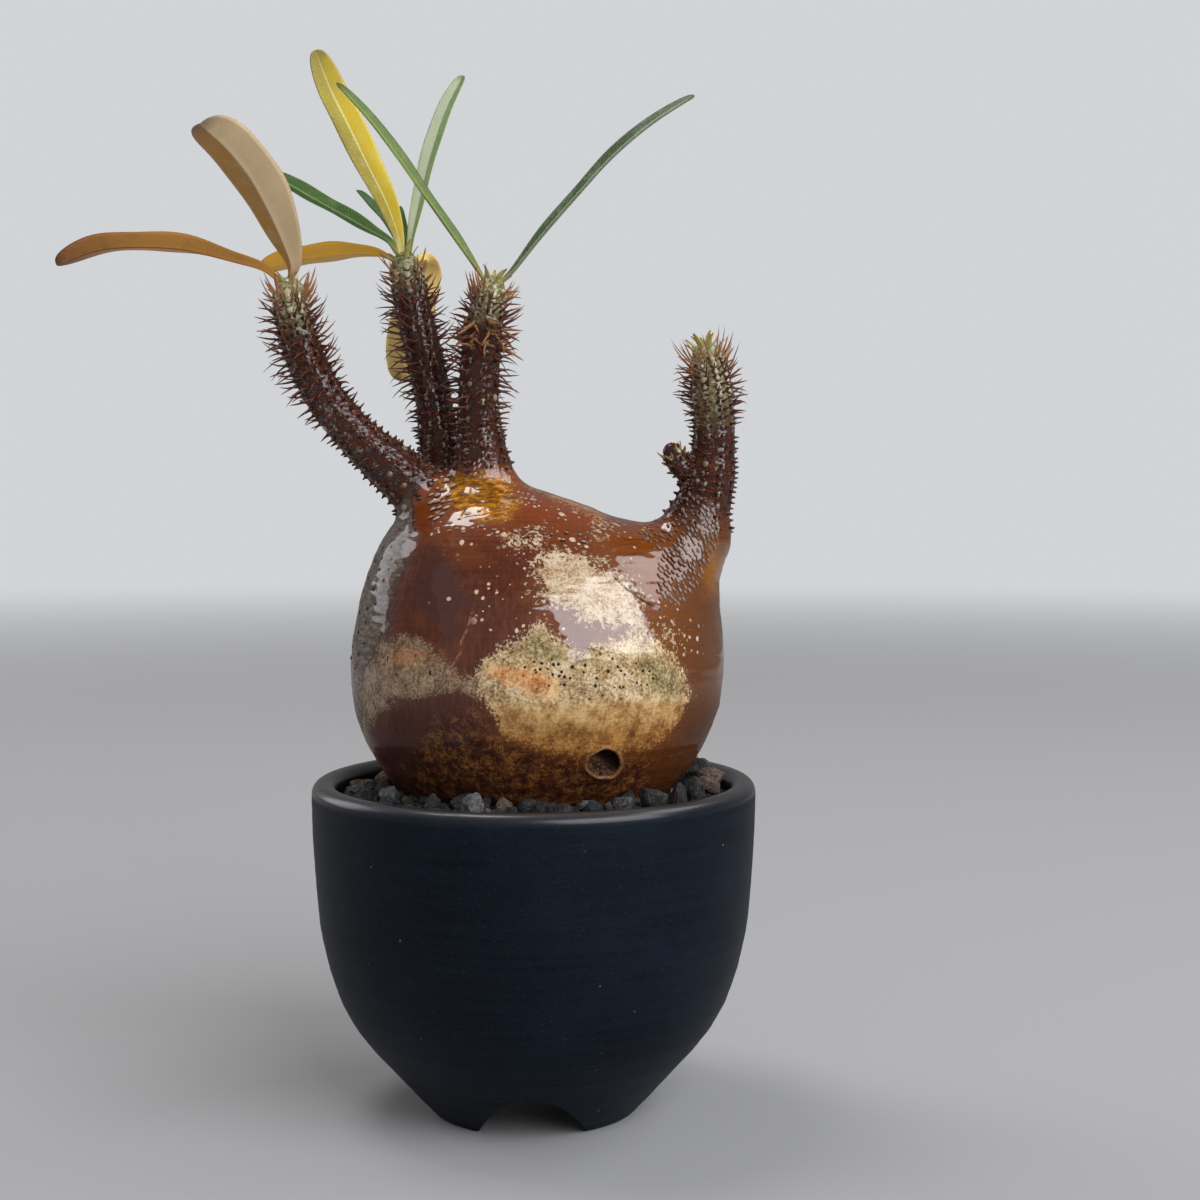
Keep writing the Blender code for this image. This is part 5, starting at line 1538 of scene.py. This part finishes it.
# For each leaf: its finish, its slot, the colours of its near side, far side, under face, midrib, tip
# and base, and what else is its own.
LEAF_FINISHES = {
    # The two left leaves mix their own colours with painted light: the near side is painted as the lit half,
    # the far side as the shaded half that light shines through.
    "leaf_left_low": ("leaf_amber_low", "leaf_amber", (204, 150, 84), (236, 160, 24), (214, 146, 48),
                      (140, 78, 26), (96, 50, 38), (214, 150, 50), {"rib_width": 0.09, "ripe": 0.4}),
    "leaf_left_broad": ("leaf_tan", "leaf_tan", (214, 190, 148), (178, 126, 40), (196, 152, 88),
                        (226, 204, 166), (140, 112, 88), (168, 110, 56),
                        {"rib_width": 0.07, "gloss": 0.6, "under_share": 0.15, "ripe": 0.16}),
    "leaf_back_amber": ("leaf_amber", "leaf_amber", (250, 186, 28), (250, 190, 34), (250, 190, 58),
                        (228, 182, 84), (170, 104, 40), (226, 176, 76), {}),
    "leaf_back_dark": ("leaf_dark_green", "leaf_green", (46, 82, 26), (66, 104, 36), GREEN_UNDER,
                       (136, 164, 96), (96, 110, 50), (168, 184, 100), {"rib_width": 0.14}),
    "leaf_back_yellow": ("leaf_yellow", "leaf_yellow", (184, 166, 44), (236, 204, 44), (214, 190, 84),
                         (246, 238, 164), (132, 116, 40), (240, 236, 160),
                         {"rib_width": 0.09, "under_share": 0.2, "ripe": 0.34}),
    "leaf_back_pale": ("leaf_pale_green", "leaf_pale", (208, 220, 180), (126, 160, 80), GREEN_UNDER,
                       (220, 224, 196), (126, 132, 70), (200, 208, 122), {"rib_width": 0.15}),
    "leaf_back_short": ("leaf_short_green", "leaf_green", (46, 80, 34), (56, 92, 40), GREEN_UNDER,
                        (96, 124, 72), (66, 82, 36), (156, 172, 96), {}),
    "leaf_back_young": ("leaf_young_green", "leaf_green", (66, 98, 42), (80, 112, 50), GREEN_UNDER,
                        (128, 152, 90), (116, 92, 40), (156, 172, 96), {}),
    "leaf_back_hanging": ("leaf_hanging_yellow", "leaf_yellow", (250, 206, 76), (246, 200, 70),
                          (252, 220, 138), (240, 212, 136), (140, 98, 44), (220, 188, 90), {}),
    "leaf_middle_left": ("leaf_olive_green", "leaf_green", (104, 130, 36), (84, 112, 36), GREEN_UNDER,
                         (160, 168, 88), (76, 84, 34), (186, 162, 98), {}),
    "leaf_middle_right": ("leaf_bloomed_green", "leaf_green", (56, 86, 36), (84, 108, 62), GREEN_UNDER,
                          (198, 206, 180), (70, 84, 46), (180, 166, 104), {"rib_width": 0.13}),
}
for name, (finish, slot, *colours, own) in LEAF_FINISHES.items():
    finish_piece(make_blade(name), name + "_blade", make_leaf_finish(finish, *colours, **own), slot, name)

# %% [markdown]
# ## The bowl
# The bowl was thrown on a wheel: a round wall with faint rings, a soft lip and a foot ring that three
# arches cut into feet. One closed outline is spun round the axis. The arches can't be spun, so the
# points of the foot are lifted by a formula where an arch passes, which keeps one closed shell. Each
# arch rises from the hollow under the bowl to the outside, where the picture shows it 11 mm high.

# %% The bowl's outline
POT_OUTSIDE = [(25.0, 0.0), (28.4, 4.0), (31.9, 8.0), (35.4, 12.0), (39.0, 16.0), (42.8, 21.0), (46.1, 27.0),
               (48.8, 35.0), (50.9, 45.0), (52.0, 58.0), (52.6, 70.0), (52.7, 76.2)]
POT_WALL, LIP_ROUNDING, FLOOR_TOP, FLOOR_UNDER, DRAIN_RADIUS = 5.8, 2.6, 14.5, 8.6, 6.0
FOOT_INSIDE, FOOT_HOLLOW, ARCHED_BELOW = 20.5, 17.0, 17.0
ARCH_TURNS = [math.radians(a) for a in (-90, 30, 150)]
ARCH_HALF_WIDTH, ARCH_INSIDE, ARCH_OUTSIDE = 12.2, 6.8, 11.2  # an arch is higher outside than inside
ARCH_SQUARENESS, ARCH_ROUNDS = 2.7, 12  # 2 would be a plain arc; rounds find where it meets the wall
POT_STEPS = 240


def pot_radius(z):
    """The bowl's outside at a height, on a smooth curve through its measured points."""
    heights = [p[1] for p in POT_OUTSIDE]
    z = min(max(z, 0.0), heights[-1])
    i = max(k for k, h in enumerate(heights) if h <= z) if z > 0 else 0
    if i == len(heights) - 1:
        return POT_OUTSIDE[-1][0]
    t = (i + (z - heights[i]) / (heights[i + 1] - heights[i])) / (len(heights) - 1)
    return catmull_rom(POT_OUTSIDE, t)[0]


def arc(centre, radius, first, last, steps):
    """Points of an arc, its turns in degrees."""
    turns = [math.radians(first + (last - first) * k / steps) for k in range(steps + 1)]
    return [(centre[0] + radius * math.cos(a), centre[1] + radius * math.sin(a)) for a in turns]


def pot_outline():
    """The closed outline, from the drain hole's lower edge round the foot, wall, lip, inside and floor."""
    lip = POT_OUTSIDE[-1][0]
    foot = FOOT_INSIDE
    under = [(DRAIN_RADIUS + 0.4, FLOOR_UNDER), (10.0, FLOOR_UNDER), (15.5, FLOOR_UNDER - 0.05), (18.0, 7.2),
             (19.6, 6.0), (foot, 4.4), (foot, 2.4), (foot, 0.9), (foot + 0.25, 0.3), (foot + 0.9, 0.0),
             (23.0, 0.0), (24.2, 0.0), (24.85, 0.25)]
    outside = [(pot_radius(z), z) for z in [0.9, 1.6, 2.6] + [0.9 * k for k in range(4, 84)]]
    rounding = arc((lip - LIP_ROUNDING, RIM_HEIGHT - LIP_ROUNDING), LIP_ROUNDING, 0, 90, 9)
    rounding += arc((lip - POT_WALL + LIP_ROUNDING, RIM_HEIGHT - LIP_ROUNDING), LIP_ROUNDING, 90, 180, 9)
    inside = [(pot_radius(z) - POT_WALL, z) for z in (74, 71, 68, 64, 60, 54, 48, 43, 37, 31, 26, 22, 19)]
    floor = [(pot_radius(17) - POT_WALL - 4, 16.0), (26.0, FLOOR_TOP + 0.4), (14.0, FLOOR_TOP),
             (DRAIN_RADIUS + 0.6, FLOOR_TOP), (DRAIN_RADIUS, FLOOR_TOP - 0.6),
             (DRAIN_RADIUS, FLOOR_UNDER + 0.4)]
    return under + outside + rounding + inside + floor


# %% The arches
def arch_share(x, y):
    """How far up an arch a place is cut away: 1 in its middle, 0 outside it."""
    share = 0.0
    for turn in ARCH_TURNS:
        if x * math.cos(turn) + y * math.sin(turn) > 0:
            across = abs(y * math.cos(turn) - x * math.sin(turn)) / ARCH_HALF_WIDTH
            share = max(share, 1 - across ** ARCH_SQUARENESS)
    return share


def arch_outside(turn):
    """How high an arch cuts the outside at a turn, where a higher cut also lies further out."""
    height = 0.0
    for _ in range(ARCH_ROUNDS):
        r = pot_radius(height)
        height = (height + ARCH_OUTSIDE * arch_share(r * math.cos(turn), r * math.sin(turn))) / 2
    return height


# %% The bowl spun round its axis
def make_pot():
    bm = bmesh.new()
    outline = [bm.verts.new((r, 0, z)) for r, z in pot_outline()]
    edges = [bm.edges.new(pair) for pair in zip(outline, outline[1:] + outline[:1])]
    bmesh.ops.spin(bm, geom=outline + edges, cent=(0, 0, 0), axis=(0, 0, 1), angle=math.tau,
                   steps=POT_STEPS, use_merge=True)
    for vert in bm.verts:
        x, y, z = vert.co
        r = math.hypot(x, y)
        turn = math.atan2(y, x)
        outer = r >= pot_radius(z) - 0.02
        if outer and z < ARCHED_BELOW:
            cut = arch_outside(turn)
            z = cut + z * (ARCHED_BELOW - cut) / ARCHED_BELOW
            r = pot_radius(z)
        elif FOOT_HOLLOW < r < POT_OUTSIDE[0][0] and z < FLOOR_UNDER:
            rise = (r - FOOT_INSIDE) / (pot_radius(ARCH_OUTSIDE) - FOOT_INSIDE)
            cut = arch_share(x, y) * (ARCH_INSIDE + rise * (ARCH_OUTSIDE - ARCH_INSIDE))
            z = cut + z * (FLOOR_UNDER - cut) / FLOOR_UNDER
        if outer and z > 2:
            r += 0.07 * noise.noise(Vector((3.0, 0.2 * turn, z * 0.5)))
            r += 0.035 * noise.noise(Vector((9.0, 0.1 * turn, z * 1.7)))
        vert.co = (r * math.cos(turn), r * math.sin(turn), z)
    bmesh.ops.recalc_face_normals(bm, faces=bm.faces)
    return bm


# %% [markdown]
# ## The stoneware
# Matt blue-black slip over a dark body. It is neither black nor smooth: fine pale specks, faint rings
# from throwing, a cloudy bloom where it has been handled, a polish on the lip, and a paler lip edge that
# is partly wear and partly a painted highlight.

# %% Stoneware
def make_stoneware():
    material, tree, shader, mm = new_material("stoneware")
    rings = cloud(stretched(mm, 0.02, 0.02, 0.8), 1.0, 4.0, 0.6)
    bloom = cloud(mm, 0.05, 4.0, 0.55)
    grain = cloud(stretched(mm, 0.5, 0.5, 1.5), 1.6, 5.0, 0.7)
    fine = specks(mm, 1.0, 0.12, 0.45)
    up = add(tree, "ShaderNodeSeparateXYZ", mm).outputs[2]
    on_lip = grown_from(up, RIM_HEIGHT - 3.4, RIM_HEIGHT - 0.8)
    # The paler edge of the lip is partly wear and partly a painted highlight.
    wear_and_highlight = grown_from(up, RIM_HEIGHT - 1.8, RIM_HEIGHT - 0.1)
    colour = mixed(grown_from(rings, 0.3, 0.7), paint(5, 13, 22), paint(10, 20, 31))
    for share, over in ((times(grown_from(bloom, 0.42, 0.75), 0.4), paint(19, 31, 44)),
                        (times(grown_from(grain, 0.5, 0.72), 0.45), paint(31, 43, 56)),
                        (times(specks(mm, 3.6, 0.04, 0.5), 0.55), paint(150, 154, 156)),
                        (times(fine, 0.2), paint(92, 98, 104)), (times(wear_and_highlight, 0.6), paint(58, 57, 60))):
        colour = mixed(share, colour, over)
    feed(colour, shader.inputs["Base Color"])
    feed(minus(plus(0.42, times(grain, 0.2)), times(on_lip, 0.14)), shader.inputs["Roughness"])
    feed(on_lip, shader.inputs["Coat Weight"])
    shader.inputs["Coat Roughness"].default_value = 0.25
    shader.inputs["Specular IOR Level"].default_value = 0.12
    bumped(shader, plus(times(rings, 0.35), times(grain, 0.8), times(fine, 0.3)), 0.16)
    return material


finish_piece(make_pot(), "pot_shell", make_stoneware(), "stoneware", "pot", "pot_foot")

# %% [markdown]
# ## The lava mix
# Coarse black lava fills the bowl to a few millimetres under its lip and is heaped a little against
# the trunk. The bed is one closed body that fills the bowl, with a rough top. The loose stones are balls
# cut flat on random sides, in a dozen broken shapes, and each copy is squashed and turned at random, so
# that no two look the same. The largest, at the front and on the right, are placed one by one.

# %% How high the bed lies
SOIL_AT_WALL, SOIL_AT_TRUNK, TRUNK_SOIL_RADIUS = 73.4, 76.4, 34.0
SOIL_GAP = 0.15
BED_GRID = 110
BED_HEIGHTS = (66.0, 58.0, 50.0, 42.0, 35.0, 29.0, 24.0, 20.5)  # down along the wall
BED_FLOOR = ((0.86, 16.6), (0.4, 16.1))  # rings on the bowl's floor: how far each draws in, and its height


def inner_radius(z):
    return pot_radius(z) - POT_WALL


def soil_height(x, y):
    slope = inner_radius(SOIL_AT_WALL) - TRUNK_SOIL_RADIUS
    share = min(max((math.hypot(x, y) - TRUNK_SOIL_RADIUS) / slope, 0), 1)
    rough = 0.9 * noise.noise(Vector((x, y, 0)) / 4.5) + 0.5 * noise.noise(Vector((x, y, 7)) / 1.6)
    return SOIL_AT_TRUNK + (SOIL_AT_WALL - SOIL_AT_TRUNK) * share + rough


# %% The bed of lava under the stones
def grow_edge(bm, edges, moved):
    """Extrudes an open edge once and moves each new point by a formula. Returns the new edge."""
    made = bmesh.ops.extrude_edge_only(bm, edges=edges)["geom"]
    verts = [g for g in made if isinstance(g, bmesh.types.BMVert)]
    for vert in verts:
        vert.co = moved(vert.co)
    return [g for g in made if isinstance(g, bmesh.types.BMEdge) and all(v in verts for v in g.verts)]


def along_wall(co, z):
    """The place at height z next to the bowl's inside, in the direction of a point."""
    turn = math.atan2(co.y, co.x)
    reach = inner_radius(z) - SOIL_GAP - (0.6 if z < 22 else 0)
    return (reach * math.cos(turn), reach * math.sin(turn), z)


def make_bed():
    bm = bmesh.new()
    bmesh.ops.create_grid(bm, x_segments=BED_GRID, y_segments=BED_GRID, size=1)
    wall = inner_radius(SOIL_AT_WALL) - SOIL_GAP
    for vert in bm.verts:
        x, y = vert.co.x, vert.co.y
        x, y = wall * x * math.sqrt(1 - y * y / 2), wall * y * math.sqrt(1 - x * x / 2)
        vert.co = (x, y, soil_height(x, y))
    edges = [e for e in bm.edges if e.is_boundary]
    for z in BED_HEIGHTS:
        edges = grow_edge(bm, edges, lambda co: along_wall(co, z))
    for scale, z in BED_FLOOR:
        edges = grow_edge(bm, edges, lambda co: (co.x * scale, co.y * scale, z))
    bmesh.ops.holes_fill(bm, edges=edges, sides=len(edges) + 1)
    bmesh.ops.recalc_face_normals(bm, faces=bm.faces)
    return bm


# %% The loose stones
FLATS, STONE_SHAPES, STONE_EDGE = 12, 12, math.radians(30)
STONE_TONES = (0, 0, 0, 0, 0.15, 0.15, 0.3, 0.8, 2)  # drawn at random: 0 is black, 1 grey, 2 brown


def stone_shapes(template, rng):
    """A few broken-looking stones: balls cut flat on random sides, then roughened."""
    form = points_of(template)
    shapes = []
    for _ in range(STONE_SHAPES):
        points = form.copy()
        for _ in range(FLATS):
            way = unit(np.array([rng.gauss(0, 1) for _ in range(3)]))
            over = points @ way - rng.uniform(0.5, 0.84)
            points -= np.clip(over, 0, None)[:, None] * way * 0.97
        shift = Vector([rng.uniform(-50, 50) for _ in range(3)])
        rough = [1 + 0.10 * noise.noise(Vector(p) * 2.2 + shift) + 0.07 * noise.noise(Vector(p) * 6 + shift)
                 for p in points]
        shapes.append(points * np.array(rough)[:, None])
    return shapes


# %% Where the stones lie
PLACED_STONES = [  # x, y, z, radius, tone: 0 is black, 1 grey, 2 brown, 3 red, 4 white
    (-12.0, -40.2, 79.2, 3.7, 1), (-3.5, -41.0, 77.4, 2.4, 0), (2.5, -40.5, 78.2, 3.0, 0),
    (8.0, -41.0, 77.8, 2.8, 0), (14.0, -40.0, 78.0, 2.7, 0), (20.5, -38.5, 78.6, 3.6, 0.5),
    (27.0, -35.0, 79.2, 3.4, 0), (33.0, -30.0, 79.4, 3.6, 0), (37.5, -22.5, 79.6, 3.7, 0),
    (41.0, -13.0, 79.2, 3.9, 2), (42.0, -3.0, 79.4, 4.0, 2), (40.0, 6.5, 80.0, 4.2, 0.4),
    (38.0, 17.0, 79.8, 3.2, 3), (-9.0, -42.5, 76.6, 0.9, 4), (-7.4, -42.0, 76.4, 0.7, 4),
    (0.0, -42.6, 76.4, 0.8, 4), (11.5, -42.4, 76.2, 0.7, 4), (16.8, -41.4, 76.3, 0.8, 4),
    (-20.0, -38.0, 76.4, 2.6, 0.3), (-27.0, -34.5, 76.0, 2.8, 0),
]
STONE_SORTS = ((170, 2.2, 3.5, 0.2), (300, 1.1, 1.9, 0.3), (420, 0.5, 0.95, 0.5))  # count, sizes, lift
GRIT_BELOW = 2.2  # the radius, in millimetres, under which a stone counts as grit


def scatter_stones(rng):
    """Stones dropped at random between trunk and wall, the largest first: places, sizes and tones."""
    stones = [list(stone) for stone in PLACED_STONES]
    for count, small, large, lift in STONE_SORTS:
        drops = []
        for _ in range(count * 12):
            size = rng.uniform(small, large)
            reach = rng.uniform(24, inner_radius(SOIL_AT_WALL) - 0.95 * size)
            turn = rng.uniform(0, math.tau)
            x, y = reach * math.cos(turn), reach * math.sin(turn)
            drops.append((x, y, soil_height(x, y) + size * lift, size, rng.choice(STONE_TONES)))
        drops = np.array(drops)
        drops = drops[body_distance(drops[:, :3]) > 0.7 * drops[:, 3]]
        left = count
        for drop in drops:
            others = np.array(stones)
            if (np.linalg.norm(others[:, :3] - drop[:3], axis=1) > 0.74 * (others[:, 3] + drop[3])).all():
                stones.append(list(drop))
                left -= 1
            if not left:
                break
    return stones


def turned_stone(shape, place, size, rng):
    """One of the shapes, squashed, turned at random and set in its place."""
    turn = rng.uniform(0, math.tau)
    spin = Matrix.Rotation(turn, 3, Vector((rng.gauss(0, 1), rng.gauss(0, 1), 1)).normalized())
    squash = np.array([1, rng.uniform(0.75, 1), rng.uniform(0.6, 0.85)])
    return np.array(place) + (shape * squash) @ np.array(spin) * size


# %% Lava
def make_lava():
    material, tree, shader, mm = new_material("lava")
    tone = painted_on(tree, "tone")
    grain = cloud(mm, 1.1, 6.0, 0.75)
    colour = shades(grain, (0.35, 12, 12, 13), (0.7, 64, 61, 60), (0.5, 29, 28, 30))
    for first, last, over in (
            (0.0, 1.0, shades(grain, (0.35, 50, 51, 53), (0.7, 136, 137, 137))),
            (1.4, 1.6, shades(grain, (0.35, 58, 46, 40), (0.7, 138, 118, 104))),
            (2.4, 2.6, shades(grain, (0.35, 96, 44, 30), (0.7, 170, 98, 70))),
            (3.4, 3.6, paint(214, 212, 206))):
        colour = mixed(grown_from(tone, first, last), colour, over)
    dust = grown_from(cloud(mm, 0.35, 4.0, 0.6), 0.5, 0.75)
    feed(mixed(times(dust, 0.3), colour, paint(118, 112, 106)), shader.inputs["Base Color"])
    shader.inputs["Roughness"].default_value = 0.82
    bumped(shader, plus(grain, times(grown_from(cells(mm, 1.5), 0.1, 0.5), 0.6)), 0.45)
    return material


LAVA = make_lava()

# %% The bed and the stones
bed = finish_piece(make_bed(), "lava_bed", LAVA, "potting_mix", "soil")
carry(bed.data, "tone", np.zeros(len(bed.data.vertices)))
rng = random.Random(71)
stones = scatter_stones(rng)
for name, template, smallest, largest in (("lava_stones", ball_template(3), GRIT_BELOW, math.inf),
                                          ("lava_grit", ball_template(2), 0, GRIT_BELOW)):
    shapes = stone_shapes(template, rng)
    chosen = [s for s in stones if smallest <= s[3] < largest]
    places = [turned_stone(rng.choice(shapes), s[:3], s[3], rng) for s in chosen]
    piece = finish_piece(copied(template, places), name, LAVA, "potting_mix")
    piece.data.set_sharp_from_angle(angle=STONE_EDGE)
    carry(piece.data, "tone", np.repeat([s[4] for s in chosen], len(shapes[0])))
print(len(stones), "stones")

# %% [markdown]
# ## The screen over the drain hole
# A disc of black plastic mesh lies over the drain hole, and is only seen from below. Its solid is
# already right, so it keeps its shape and only gets the slightly scuffed look of moulded plastic.

# %% Screen
def make_screen_plastic():
    material, _, shader, mm = new_material("screen_plastic")
    scuffs = cloud(mm, 0.8, 6.0, 0.7)
    feed(shades(scuffs, (0.4, 34, 34, 35), (0.75, 72, 71, 68)), shader.inputs["Base Color"])
    feed(plus(times(scuffs, 0.3), 0.35), shader.inputs["Roughness"])
    bumped(shader, scuffs, 0.1)
    return material


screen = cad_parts["drain_screen"]
screen.data.materials.clear()
screen.data.materials.append(make_screen_plastic())
print("screen", len(screen.data.polygons), "faces")
